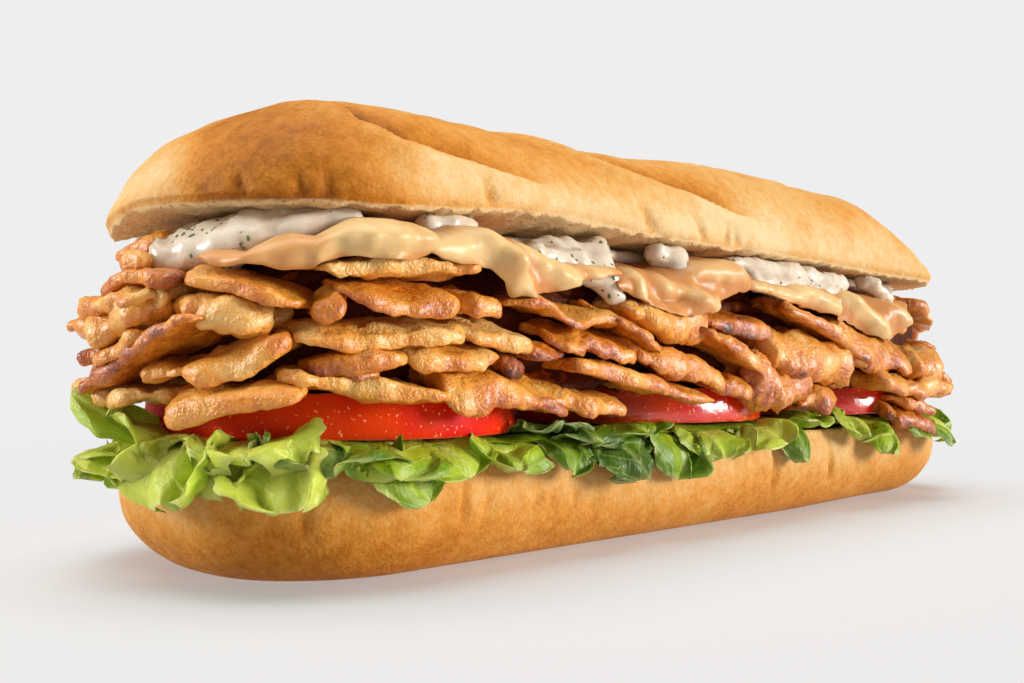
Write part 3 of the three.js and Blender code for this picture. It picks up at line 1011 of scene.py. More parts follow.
def slice_skin(long, deep, thick, droop, lump, seed, turns):
    """A plump slice with its outer edge at +deep/2, and how near its rim each point is."""
    fine = turns == CHICKEN_TURNS
    inner = INNER_SHARES if fine else INNER_SHARES[::2]
    edge, out = slice_outline(long, deep, CORNER, 0.7 + 0.35 * lump, seed, turns)
    climb = np.linspace(-np.pi / 2, np.pi / 2, 9 if fine else 5)
    square = 0.62 + 0.3 * fade(0.5, 0.9, lump)
    half = thick / 2
    shares = np.concatenate([inner, np.ones(len(climb)), inner[::-1]])
    rounded = np.clip(np.cos(climb), 0, 1) ** square
    inset = half * (1 - np.concatenate([0 * inner, rounded, 0 * inner]))
    level = np.sign(climb) * np.abs(np.sin(climb)) ** square
    level = np.concatenate([0 * inner - 1, level, 0 * inner + 1])
    rings = (edge[None] - inset[:, None, None] * out[None]) * shares[:, None, None]
    to_end = np.clip(rings[..., 0] / long * 2, -1, 1)
    thinner = 0.4 - 0.32 * fade(0.5, 0.9, lump)
    taper = 1 + 0.25 * math.sin(seed) * to_end - thinner * fade(0.45, 1.0, np.abs(to_end))
    body = half * (taper + 0.3 * uneven(rings, 8, seed + 3))
    rings[..., 2] = level[:, None] * body
    rim = np.broadcast_to(np.sqrt(np.clip(1 - level**2, 0, 1))[:, None], rings.shape[:2])
    facing = rim[..., None] * out[None] + level[:, None, None] * UP
    fibres = uneven(rings, np.array([5.0, 1.4, 1.4]), seed + 4, 2)
    lumps = 1.7 * np.abs(uneven(rings, 6.0, seed + 5, 2)) - 0.5
    dimples = np.abs(uneven(rings, 2.2, seed + 8)) - 0.4
    push = 0.16 * fibres + (0.35 + 0.9 * lump) * lumps + (0.35 + 0.5 * lump) * dimples
    rings = rings + push[..., None] * facing
    flat = rings * np.array([1, 1, 0])
    inward = fade(0.0, 1.0, rings[..., 1] / deep + 0.5)
    part = np.clip((rings[..., 1] / deep + 0.1) / 0.6, 0, 1.3)
    wave = (0.35 + 0.8 * inward) * uneven(flat, 10, seed + 6)
    rings[..., 2] += wave - droop * (1 + 0.3 * uneven(flat, 12, seed + 7)) * part**1.3
    rings[..., 1] -= 0.25 * droop * part**2
    return rings, rim, level


def shave(pile, left, right, show, roast=0.45, lump=0.3, seed=0, turns=CHICKEN_TURNS):
    """Adds a slice between two places, showing so many millimetres of its outer side."""
    along = right - left
    long = np.linalg.norm(along)
    middle = (left + right) / 2
    out_way = way_out(middle)
    side = along / long
    out_way = unit(out_way - side * np.dot(out_way, side))
    rise = np.cross(side, out_way)
    if rise[2] < 0:
        side, rise = -side, -rise
    luck = np.random.default_rng(seed)
    plump = float(fade(0.5, 0.9, lump))
    thick = np.clip((0.52 + 0.2 * plump) * show, 2.5, 4.2 + 2.6 * plump)
    thick = thick * luck.uniform(0.9, 1.15) * (1 + 0.3 * lump)
    droop = max(1.08 * show - 0.8 * thick, 0.3)
    deep = luck.uniform(17, 24)
    rings, rim, level = slice_skin(long * 1.01, deep, thick, droop, lump, seed * 11, turns)
    anchor = np.array([0, 0.36 * deep, -0.42 * droop])
    local = rings - anchor
    places = middle + local[..., :1] * side + local[..., 1:2] * out_way + local[..., 2:] * rise
    # The undersides are painted darker, as shade.
    painted_shade_under = fade(0.2, -0.6, level)[:, None]
    browning_and_shade = roast - 0.10 + 0.30 * rim * (0.5 + uneven(rings, 4, seed)) + 0.12 * painted_shade_under
    browning_and_shade = browning_and_shade + 0.16 * uneven(rings, 7, seed + 1)
    points, faces = skin_of_rings(places)
    pile.add(points, faces, roast=np.concatenate([browning_and_shade.ravel(), [roast, roast]]))


print("a slice has", CHICKEN_TURNS, "points round its rim")

# %% [markdown]
# The slices in view are placed one by one, by where their left and right ends and their height
# show. Each stands on the heap behind it, so it also looks right from the side. The wide ones
# near the tomato hang lowest, and dark gaps are left where the photo has them.

# %% Lay the slices in view
Slice = namedtuple("Slice", "left right show out roast lump", defaults=(3, 0.45, 0.3))
SLICES_IN_VIEW = [
    Slice((122, 246), (158, 241), 26, 1, 0.55, 0.6),
    Slice((126, 270), (152, 262), 14, 3, 0.5, 0.6),
    Slice((108, 288), (170, 276), 13, 5.5, 0.55),
    Slice((82, 308), (150, 292), 24, 7, 0.35, 0.9),
    Slice((72, 328), (150, 306), 30, 7.5, 0.3, 0.9),
    Slice((140, 302), (170, 288), 22, 5, 0.2, 0.6),
    Slice((98, 352), (148, 326), 24, 6, 0.25, 0.5),
    Slice((84, 384), (202, 316), 17, 6.5, 0.55),
    Slice((82, 352), (112, 345), 20, 6, 0.6, 0.7),
    Slice((76, 386), (140, 396), 24, 5, 0.15, 0.5),
    Slice((138, 372), (188, 370), 20, 4, 0.35, 0.5),
    Slice((186, 270), (304, 306), 27, 4.5, 0.46, 0.15),
    Slice((182, 303), (268, 326), 32, 3.5, 0.2, 0.8),
    Slice((186, 372), (284, 343), 34, 5, 0.3, 0.4),
    Slice((160, 404), (294, 388), 38, 6, 0.42, 0.1),
    Slice((308, 263), (480, 266), 18, 3, 0.22, 0.5),
    Slice((310, 312), (340, 288), 20, 2, 0.45, 0.5),
    Slice((338, 284), (466, 304), 34, 3.5, 0.46, 0.2),
    Slice((458, 298), (504, 302), 30, 2.5, 0.4, 0.6),
    Slice((298, 334), (464, 326), 25, 4, 0.24, 0.3),
    Slice((462, 327), (530, 336), 22, 2.5, 0.08, 0.6),
    Slice((414, 353), (498, 352), 26, 4, 0.3, 0.4),
    Slice((300, 364), (420, 350), 18, 2.5, 0.45, 0.3),
    Slice((494, 350), (522, 362), 24, 2.5, 0.85, 0.6),
    Slice((326, 371), (380, 372), 17, 2.5, 0.55, 0.4),
    Slice((282, 376), (448, 398), 19, 4.5, 0.28, 0.3),
    Slice((448, 384), (550, 392), 34, 5, 0.42, 0.6),
    Slice((514, 396), (560, 404), 20, 4, 0.5, 0.5),
    Slice((508, 299), (630, 326), 19, 3, 0.42, 0.3),
    Slice((552, 332), (630, 348), 22, 3.5, 0.5, 0.6),
    Slice((520, 348), (566, 349), 16, 2.5, 0.6, 0.3),
    Slice((611, 304), (660, 350), 17, 4.5, 0.5, 0.4),
    Slice((628, 308), (712, 320), 38, 3.5, 0.26, 0.8),
    Slice((628, 342), (722, 374), 32, 4.5, 0.48, 0.7),
    Slice((572, 364), (714, 396), 17, 5, 0.5, 0.2),
    Slice((542, 386), (628, 402), 25, 4, 0.35, 0.4),
    Slice((703, 325), (762, 370), 20, 5, 0.4, 0.4),
    Slice((708, 316), (774, 332), 30, 3, 0.7, 0.2),
    Slice((710, 380), (758, 389), 18, 3, 0.55, 0.4),
    Slice((752, 378), (812, 380), 42, 5.5, 0.46, 0.95),
    Slice((768, 342), (852, 364), 42, 5, 0.34, 0.9),
    Slice((790, 306), (870, 356), 19, 5.5, 0.45, 0.2),
    Slice((838, 342), (920, 362), 36, 4.5, 0.44, 0.8),
    Slice((876, 308), (908, 320), 28, 1.5, 0.3, 0.7),
    Slice((908, 360), (942, 366), 24, 5, 0.35, 0.9),
    Slice((880, 382), (950, 388), 18, 6, 0.4, 0.9),
    Slice((896, 398), (932, 406), 15, 4.5, 0.5, 0.6),
    Slice((892, 410), (934, 420), 20, 5, 0.5, 0.6),
    Slice((796, 396), (838, 399), 20, 3.5, 0.5, 0.7),
]

SHOW_MORE = 1.12
chicken_in_view = Pile("roast")
for number, spec in enumerate(SLICES_IN_VIEW):
    left, right = seen(spec.left, spec.out), seen(spec.right, spec.out)
    show = SHOW_MORE * spec.show * pixel_size((left + right) / 2)
    shave(chicken_in_view, left, right, show, spec.roast, spec.lump, seed=number + 1)
print(len(SLICES_IN_VIEW), "slices in view")

# %% [markdown]
# Behind and around them the heap goes on. Six layers of slices run all the way round the roll:
# out at its side where the photo doesn't look, and set back behind the placed slices where it
# does. Those set back are painted darker, as shade in the gaps, and are a piece of their own
# with the shaded copy of the finish, together with a core that fills the middle, painted
# darkest, so that no light leaks through.

# %% Heap the rest of the chicken
LAYER_HEIGHTS = (35.0, 39.0, 43.0, 47.0, 51.0, 54.5)
LAYER_LEAN = 0.9
SET_BACK = 7.0
TURNED_AWAY = -0.12
FAR_SLICE_TURNS = 36
FAR_SLICE_SEED = 200
CORE_PAINTED_SHADE = 1.2
chicken_beyond = Pile("roast")
chicken_inside_shaded = Pile("roast")
luck = np.random.default_rng(7)


def in_view(place):
    """Whether the camera sees the side of the roll at a place."""
    toward = unit((CAMERA_PLACE - place) * np.array([1, 1, 0]))
    return float(np.dot(way_out(place), toward)) > TURNED_AWAY


def heap_round_roll():
    seed = FAR_SLICE_SEED
    for layer, height in enumerate(LAYER_HEIGHTS):
        walk = luck.uniform(0, 20)
        while walk < WHOLE_WALK - 8:
            long = luck.uniform(20, 38)
            out = luck.uniform(0.5, 5.0) - LAYER_LEAN * layer
            middle = round_roll(walk + long / 2, out, height)
            hidden = in_view(middle)
            if hidden:
                out -= SET_BACK
            tilt = luck.uniform(-2.5, 2.5)
            left = round_roll(walk, out, height + tilt + luck.uniform(-1, 1))
            right = round_roll(walk + long, out, height - tilt)
            # Slices set back are painted darker, as shade in the gaps.
            shave(
                chicken_inside_shaded if hidden else chicken_beyond,
                left,
                right,
                show=luck.uniform(3.5, 7.5),
                roast=luck.uniform(0.2, 0.6) + 0.8 * hidden,
                lump=luck.uniform(0.1, 0.8),
                seed=seed,
                turns=FAR_SLICE_TURNS,
            )
            seed += 1
            walk += long * luck.uniform(0.68, 0.9)
    return seed - FAR_SLICE_SEED


beyond_count = heap_round_roll()
core_shares = [0.0, 0.5, 0.8, 0.84, 0.86, 0.84, 0.78, 0.6, 0.3, 0.0]
core_heights = [32.4, 32.4, 32.4, 35, 42, 50, 53.5, 55, 55.4, 55.4]
core_rings, _ = sweep(core_shares, core_heights)
core_places, core_faces = skin_of_rings(core_rings[:, ::4])
# The core is painted darkest, as shade deep in the heap.
chicken_inside_shaded.add(core_places, core_faces, roast=CORE_PAINTED_SHADE)
chicken_in_view.piece("chicken_in_view", CHICKEN_FINISH, "chicken", "chicken_heap")
chicken_beyond.piece("chicken_beyond", CHICKEN_FINISH, "chicken")
chicken_inside_shaded.piece("chicken_inside_shaded", SHADED_CHICKEN_FINISH, "chicken")
print(beyond_count, "slices beyond")

# %% [markdown]
# Three soft finishes follow. Cheese is pale where it is folded and lets the tan of the meat
# through where it is thin, so one mark says how clear it is. The sauce is an off-white cream
# and wet. Both let light in a little way, or they would look like plaster. The herbs are dry.


# %% Mix the cheese, the sauce and the herbs
def cheese_finish():
    cheese = Finish("cheese")
    cloudy = cheese.grain(6, 2)
    share = cheese.between(cheese.mark("clear") + 0.8 * (cloudy - 0.5), 0.1, 1.0)
    return cheese.surface(
        Base_Color=cheese.blend(share, tone(222, 184, 124), tone(202, 136, 74)),
        Roughness=0.26 + 0.26 * cheese.grain(4, 2),
        Normal=cheese.relief(cheese.grain(2.5, 3), 0.22),
        Specular_IOR_Level=0.4,
        Subsurface_Weight=0.25,
        Subsurface_Scale=0.003,
        Subsurface_Radius=(1.0, 0.6, 0.3),
    )


def sauce_finish():
    sauce = Finish("sauce")
    faint = sauce.between(sauce.grain(5, 3), 0.4, 0.75)
    return sauce.surface(
        Base_Color=sauce.blend(faint, tone(226, 212, 191), tone(210, 190, 165)),
        Roughness=0.20 + 0.14 * sauce.grain(3, 2),
        Normal=sauce.relief(sauce.grain(1.8, 3), 0.16),
        Subsurface_Weight=0.3,
        Subsurface_Scale=0.003,
        Subsurface_Radius=(1.0, 0.8, 0.6),
    )


def herb_finish():
    herb = Finish("herb")
    share = herb.grain(0.8, 1)
    return herb.surface(
        Base_Color=herb.blend(share, tone(58, 84, 30), tone(120, 140, 70)), Roughness=0.5
    )


CHEESE_FINISH = cheese_finish()
SAUCE_FINISH = sauce_finish()
HERB_FINISH = herb_finish()

# %% [markdown]
# Melted cheese lies on the lumps below it like a heavy cloth, and hangs down both sides. A
# cloth simulation could drape it, but wouldn't end at the edges that the photo shows. So each
# sheet starts as a smooth fall to its edge, is pushed out wherever a slice of chicken would
# poke through, and is then smoothed, which is what melting does. Wrinkles and the large folds
# of the photo come last.

# %% Drape the cheese
CHEESE_THICKNESS = 1.1
CHEESE_ROWS = 46
CHEESE_COLUMNS = 90
CHEESE_INNER = -14.0
CHEESE_HIDDEN = 0.15
FAR_EDGE_HEIGHT = 51
FAR_TOP_HEIGHT = 58.5
SEARCH_FROM = 14
SEARCH_LENGTH = 24
NO_MEAT = -20.0
Fold = namedtuple("Fold", "first second wide out")
Cheese = namedtuple("Cheese", "node top edge folds")
CHEESES = [
    Cheese(
        "cheese_slice_1",
        [
            *[(203, 256), (214, 251), (228, 250), (242, 253), (250, 256), (260, 244), (274, 233)],
            *[(290, 230), (304, 234), (316, 236), (330, 228), (352, 216), (380, 209), (404, 211)],
            *[(424, 224), (440, 240)],
        ],
        [
            *[(203, 260), (226, 270), (244, 270), (258, 268), (286, 270), (312, 268), (340, 258)],
            *[(390, 261), (440, 254)],
        ],
        [
            Fold((210, 262), (246, 260), 2.4, 1.8),
            Fold((262, 258), (300, 244), 4.0, 2.8),
            Fold((330, 232), (382, 217), 3.6, 2.6),
            Fold((370, 241), (424, 236), 2.6, 3.4),
        ],
    ),
    Cheese(
        "cheese_slice_2",
        [(412, 244), (440, 234), (470, 222), (490, 218), (520, 231), (545, 251), (580, 263), (622, 270)],
        [(412, 248), (450, 264), (484, 270), (500, 286), (510, 298), (524, 297), (560, 289), (622, 274)],
        [
            Fold((430, 250), (476, 236), 3.2, 1.6),
            Fold((484, 226), (500, 262), 2.8, 3.4),
            Fold((500, 262), (516, 292), 2.6, 2.6),
            Fold((532, 244), (562, 280), 2.8, 2.6),
            Fold((590, 277), (612, 271), 2.2, 1.0),
        ],
    ),
    Cheese(
        "cheese_slice_3",
        [(616, 282), (630, 268), (650, 262), (672, 270), (700, 258), (730, 255), (750, 270)],
        [(616, 287), (640, 304), (672, 316), (700, 315), (724, 300), (750, 287)],
        [
            Fold((636, 270), (636, 294), 2.2, 2.2),
            Fold((664, 284), (706, 308), 2.4, 2.0),
            Fold((698, 266), (738, 270), 3.0, 2.6),
        ],
    ),
    Cheese(
        "cheese_slice_4",
        [(738, 284), (760, 278), (800, 283), (840, 284), (870, 290), (905, 300)],
        [(738, 289), (770, 298), (805, 309), (842, 320), (866, 334), (884, 343), (898, 326), (905, 306)],
        [
            Fold((752, 286), (792, 297), 2.4, 1.6),
            Fold((800, 287), (830, 310), 2.6, 2.6),
            Fold((848, 297), (878, 334), 2.8, 3.0),
            Fold((886, 302), (898, 324), 2.0, 1.6),
        ],
    ),
]


def searched(*piles):
    """All the skins of some piles, ready to be hit by rays."""
    whole = Pile()
    for pile in piles:
        whole.add(np.concatenate(pile.places), pile.faces)
    return BVHTree.FromPolygons([Vector(place) for place in np.concatenate(whole.places)], whole.faces)


chicken_skin = searched(chicken_in_view, chicken_beyond, chicken_inside_shaded)


def heap_side(place, way):
    """How far out from the roll's side the chicken reaches at the height of a place."""
    start = Vector(place + way * (HALF_WIDTH + SEARCH_FROM - from_spine(place)))
    found = chicken_skin.ray_cast(start, Vector(-way), SEARCH_LENGTH)[0]
    return NO_MEAT if found is None else from_spine(np.array(found)) - HALF_WIDTH


def smoothed(field, times):
    for _ in range(times):
        padded = np.pad(field, 1, mode="edge")
        field = (
            2 * field + padded[:-2, 1:-1] + padded[2:, 1:-1] + padded[1:-1, :-2] + padded[1:-1, 2:]
        ) / 6
    return field


def seen_line(pixels, out):
    """Places along a line drawn over the photo, one for every column of a cheese sheet."""
    line = np.array(pixels, float)
    spots = np.linspace(line[0, 0], line[-1, 0], CHEESE_COLUMNS)
    rows = np.interp(spots, line[:, 0], line[:, 1])
    return np.array([seen(pixel, out) for pixel in zip(spots, rows)])


def falling_side(tops, edges):
    """One side of a slice, from the middle of the roll over the heap's shoulder to its edge."""
    step = np.linspace(0, 1, CHEESE_ROWS)[:, None]
    fall = np.clip((step - CHEESE_HIDDEN) / (1 - CHEESE_HIDDEN), 0, 1)
    reach = CHEESE_INNER + (from_spine(edges)[None] - HALF_WIDTH - CHEESE_INNER) * (1 - (1 - fall) ** 3)
    inner = -HALF_WIDTH + (HALF_WIDTH + CHEESE_INNER) * step / CHEESE_HIDDEN
    out = np.where(step < CHEESE_HIDDEN, inner, reach)
    way = way_out(edges)[None]
    spine = edges[None] * np.array([1, 0, 0])
    spine[..., 0] = np.clip(spine[..., 0], -SPINE, SPINE)
    grid = spine + way * (HALF_WIDTH + out)[..., None]
    grid[..., 2] = edges[None, :, 2] + (tops[None, :, 2] - edges[None, :, 2]) * (1 - fall**1.7)
    return grid, out, way, fall


def pushed_out(grid, out, way, fall, seed, folds):
    """Moves a side out over the chicken, melts it smooth and adds its folds."""
    wall = np.full(out.shape, NO_MEAT)
    for row, column in np.argwhere(np.broadcast_to(fall > 0.2, out.shape)):
        wall[row, column] = heap_side(grid[row, column], way[0, column])
    resting = smoothed(np.maximum(out, np.minimum(wall + 1.0, 7.0)), 6)
    wrinkles = 0.8 * uneven(grid, 7, seed) + 0.7 * uneven(grid, np.array([2.8, 2.8, 6]), seed + 1)
    pleats = (1 - 2 * np.abs(uneven(grid, np.array([3.0, 3.0, 7]), seed + 2))) * fall**2
    lifted = resting + fall**0.6 * np.maximum(wrinkles + 0.6 * pleats, -0.8)
    flat = grid + way * (2.0 - out)[..., None]
    for fold in folds:
        line = np.array([seen(fold.first, 2), seen(fold.second, 2)])
        away = np.abs(beside_line(flat, way, line)[0]) / fold.wide
        lifted = lifted + fold.out * np.exp(-(away**2)) * fade(0.1, 0.4, fall)
    return grid + way * (lifted - out)[..., None], fade(2.2, -0.2, lifted - resting)


def mirrored(line, heights):
    """A line of the near side, carried over to the back at other heights."""
    far = line * np.array([1, -1, 1])
    far[:, 0] = np.where(line[:, 0] < -SPINE, (line[:, 0] - SPINE) / 2, line[:, 0])
    far[:, 2] = heights
    return far


def steps_to_border(count):
    return np.minimum(np.arange(count), np.arange(count)[::-1])


def drape_cheese(cheese, seed):
    edges = seen_line(cheese.edge, 2.0)
    tops = seen_line(cheese.top, -2.0)
    edges[:, 2] += 0.5 * uneven(edges, 5, seed + 9) + 0.4 * uneven(edges, 2.2, seed + 8)
    tops[:, 2] = np.minimum(tops[:, 2], TOP_CUT - 0.8)
    hang = FAR_EDGE_HEIGHT + 3 * uneven(edges, 18, seed + 3) + uneven(edges, 6, seed + 4)
    far_edges = mirrored(edges, hang)
    far_tops = mirrored(tops, FAR_TOP_HEIGHT + uneven(edges, 12, seed + 5))
    near, near_out, near_way, fall = falling_side(tops, edges)
    rear, rear_out, rear_way, _ = falling_side(far_tops, far_edges)
    near, near_clear = pushed_out(near, near_out, near_way, fall, seed, cheese.folds)
    rear, rear_clear = pushed_out(rear, rear_out, rear_way, fall, seed + 5, [])
    grid = np.concatenate([rear[::-1], near[1:]])
    clear = np.concatenate([rear_clear[::-1], near_clear[1:]])
    clear = clear + 0.7 * fade(-108, -114, grid[..., 0]) + 0.2 + 0.5 * uneven(grid, 9, seed + 7)
    rows_away = steps_to_border(len(grid))[:, None] / 5
    columns_away = steps_to_border(CHEESE_COLUMNS)[None] / 4
    round_edge = np.sqrt(np.clip(np.minimum(rows_away, columns_away), 0, 1))
    thickness = CHEESE_THICKNESS * round_edge * (1 + 0.3 * uneven(grid, 6, seed + 6))
    pile = Pile("clear")
    places, faces = thick_sheet(grid, thickness)
    pile.add(places, faces, clear=np.tile((clear + 0.3 * (1 - round_edge)).ravel(), 2))
    return pile.piece(cheese.node.replace("slice_", ""), CHEESE_FINISH, "cheese", cheese.node)


for number, cheese in enumerate(CHEESES):
    drape_cheese(cheese, 900 + 20 * number)

# %% [markdown]
# The sauce is thick and white, squeezed out between the cheese and the upper half. It is a union
# of soft balls strung along the places where it shows, over a flat sheet inside the roll. A
# voxel remesh melts them into one body, which is then made uneven, because balls alone would
# leave it as smooth as beads.

# %% Pour the sauce
Run = namedtuple("Run", "x y ball out")
SAUCE_RUNS = [
    [(172, 243, 2.8, -6), (210, 232, 3.2, -6), (250, 226, 3.2, -5), (352, 218, 2.6, -4)],
    [
        *[(147, 263, 2.3, 1.5), (160, 262, 2.9, 1.5), (180, 251, 3.6, 0.6), (215, 246, 3.8, 0)],
        *[(290, 231, 3.2, -1.5)],
    ],
    [(154, 248, 2.8, 0), (196, 240, 3.4, -2), (240, 233, 3.4, -2), (330, 221, 2.6, -3)],
    [(436, 227, 2.6, -3), (456, 225, 3.4, -2.5), (470, 228, 2.6, -3)],
    [(542, 249, 2.6, -5), (575, 252, 3.2, -4), (606, 252, 3.2, -3)],
    [(538, 256, 2.6, -1), (570, 264, 3.6, -0.5), (602, 270, 3.6, 0.3)],
    [(608, 262, 3.2, -1), (618, 282, 3.0, 1.5), (622, 295, 2.4, 2)],
    [(662, 255, 2.8, -3), (684, 259, 3.4, -2), (682, 268, 2.6, -0.5)],
    [(736, 262, 2.6, -4), (762, 270, 3.0, -2.5), (800, 275, 3.3, -1.5), (846, 285, 3.0, -0.5)],
    [(760, 282, 2.2, 0), (784, 286, 3.0, 0.8), (812, 290, 2.2, 0.5), (838, 294, 2.8, 1)],
    [(872, 283, 2.6, -2), (894, 298, 2.6, 0.5)],
]
SHEET_SHARES = (0.3, 0.6, 0.7, 0.72, 0.7, 0.6, 0.3)
SHEET_HEIGHTS = (58.6, 58.6, 58.8, 60, 61.4, 61.7, 61.7)
BALLS_APART = 2.2
FAR_SAUCE_START = SIDE_WALK + 60
FAR_SAUCE_STOP = WHOLE_WALK - 84
VOXEL = 0.0009


def ball(form, centre, radius):
    made = bmesh.ops.create_icosphere(form, subdivisions=3, radius=radius * MM)["verts"]
    bmesh.ops.translate(form, verts=made, vec=Vector(centre * MM))


def string_balls(form, run, dice):
    for first, second in zip(run[:-1], run[1:]):
        start = seen((first.x, first.y), first.out)
        stop = seen((second.x, second.y), second.out)
        count = max(int(np.linalg.norm(stop - start) / BALLS_APART), 2)
        for step in np.linspace(0, 1, count):
            radius = (first.ball + (second.ball - first.ball) * step) * dice.uniform(0.85, 1.1)
            centre = start + (stop - start) * step + dice.uniform(-0.4, 0.4, 3)
            centre = centre - way_out(centre) * radius * 0.75
            ball(form, centre, radius)
            lump = dice.uniform(0.9, 1.5)
            ball(form, centre + unit(dice.uniform(-1, 1, 3)) * (radius - 0.3 * lump), lump)


def sauce_body():
    form = bmesh.new()
    dice = np.random.default_rng(21)
    for run in SAUCE_RUNS:
        string_balls(form, [Run(*spot) for spot in run], dice)
    walk = FAR_SAUCE_START
    while walk < FAR_SAUCE_STOP:
        radius = dice.uniform(2.6, 4.4)
        centre = round_roll(walk, dice.uniform(-7, -4), dice.uniform(57.0, 58.6))
        ball(form, centre, radius)
        walk += radius * dice.uniform(0.6, 1.4)
    rings, _ = sweep(SHEET_SHARES, SHEET_HEIGHTS)
    places, faces = skin_of_rings(rings[:, ::6])
    corners = [form.verts.new(place) for place in places * MM]
    for face in faces:
        form.faces.new([corners[corner] for corner in face])
    mesh = bpy.data.meshes.new("sauce")
    form.to_mesh(mesh)
    form.free()
    made = bpy.data.objects.new("sauce", mesh)
    scene.collection.objects.link(made)
    melt = made.modifiers.new("melt", "REMESH")
    melt.mode = "VOXEL"
    melt.voxel_size = VOXEL
    relax = made.modifiers.new("relax", "SMOOTH")
    relax.factor = 0.6
    relax.iterations = 7
    shown = made.evaluated_get(bpy.context.evaluated_depsgraph_get())
    made.data = bpy.data.meshes.new_from_object(shown)
    made.modifiers.clear()
    corners = made.data.vertices
    places = np.array([corner.co for corner in corners]) / MM
    normals = np.array([corner.normal for corner in corners])
    lumps = 0.45 * uneven(places, 3.2, 51) + 0.22 * uneven(places, 1.4, 52)
    corners.foreach_set("co", ((places + lumps[:, None] * normals) * MM).ravel())
    return settle(made, SAUCE_FINISH, "sauce", "herb_sauce")


sauce = sauce_body()

# %% [markdown]
# The herbs are tiny torn flakes, seven-sided and nearly flat. They are strewn over the outer
# faces of the sauce where a noise is high, so they lie in drifts as a pinch of herbs does. A
# particle system could strew them too, but here each flake is real mesh in one small piece.

# %% Scatter the herbs
HERB_COUNT = 620
HERB_SIDES = 7


def herb_flakes(base, count):
    pile = Pile()
    dice = np.random.default_rng(33)
    mesh = base.data
    centres = np.array([face.center for face in mesh.polygons]) / MM
    herby = (from_spine(centres) > HALF_WIDTH - 6) & (uneven(centres, 5, 44) > -0.1)
    for number in dice.choice(np.flatnonzero(herby), count):
        normal = np.array(mesh.polygons[number].normal)
        side = unit(np.cross(normal, UP + 0.01))
        turn = dice.uniform(0, np.pi)
        first = side * math.cos(turn) + np.cross(normal, side) * math.sin(turn)
        second = np.cross(normal, first)
        size = 0.2 + 0.45 * dice.uniform() ** 2
        angles = np.linspace(0, 2 * np.pi, HERB_SIDES, endpoint=False)
        reach = size * dice.uniform(0.6, 1.2, HERB_SIDES)
        flat = (np.cos(angles) * reach)[:, None] * first
        flat = flat + (np.sin(angles) * reach * 0.6)[:, None] * second
        centre = centres[number] + normal * 0.06
        below = centre - normal * 0.1 + flat * 0.9
        above = centre + normal * 0.08 + flat * 0.5
        pile.add(*skin_of_rings(np.stack([below, centre + flat, above])))
    return pile.piece("herbs", HERB_FINISH, "sauce")


herb_flakes(sauce, HERB_COUNT)

# %% [markdown]
# Lettuce is dark and warm green where it is old and pale yellow green where it is young, so a
# mark says how old each leaf is. Pale ribs are marked on the mesh, and the same mark paints a
# pale line along each leaf's border, a painted highlight where the thin edge catches light. The
# fine veins are thin stripes that the finish draws aslant over the leaf. Light shines a little
# way into it.


# %% Mix the lettuce
def lettuce_finish():
    leaf = Finish("lettuce")
    rib = leaf.mark("rib")
    age = leaf.mark("age")
    wobble = 0.3 * leaf.grain(9, 2)
    side_veins = leaf.mark("along") + 0.5 * leaf.mark("across") + wobble
    fine_veins = leaf.mark("along") - 1.1 * leaf.mark("across") + wobble
    veins = leaf.stripes(side_veins, 0.26, 0.12) + 0.5 * leaf.stripes(fine_veins, 0.12, 0.2)
    patch = leaf.grain(6, 3)
    share = leaf.between(age + 0.5 * (patch - 0.5), 0.0, 1.0)
    green = leaf.ramp(
        share,
        (0.0, tone(196, 204, 76)),
        (0.35, tone(160, 180, 30)),
        (0.7, tone(104, 136, 10)),
        (1.0, tone(38, 70, 3)),
    )
    height = leaf.grain(2.4, 3) + 0.6 * rib + 0.15 * veins
    return leaf.surface(
        Base_Color=leaf.blend(rib * 0.5 + 0.16 * veins, green, tone(210, 218, 128)),
        Roughness=0.34 + 0.2 * leaf.grain(3, 2),
        Normal=leaf.relief(height, 0.45),
        Specular_IOR_Level=0.35,
        Subsurface_Weight=0.3,
        Subsurface_Scale=0.002,
        Subsurface_Radius=(0.6, 1.0, 0.15),
    )


LETTUCE_FINISH = lettuce_finish()

# %% [markdown]
# The leaves start flat between the tomato and the lower half, come out over the edge and droop.
# Their rims have grown more than their middles, so they ruffle: each is one sheet with folds
# that get deeper towards the rim. Those in view are placed by foot and tip, and the rest grow
# all round the back from the same rules. A flat bed under the tomatoes fills the middle.

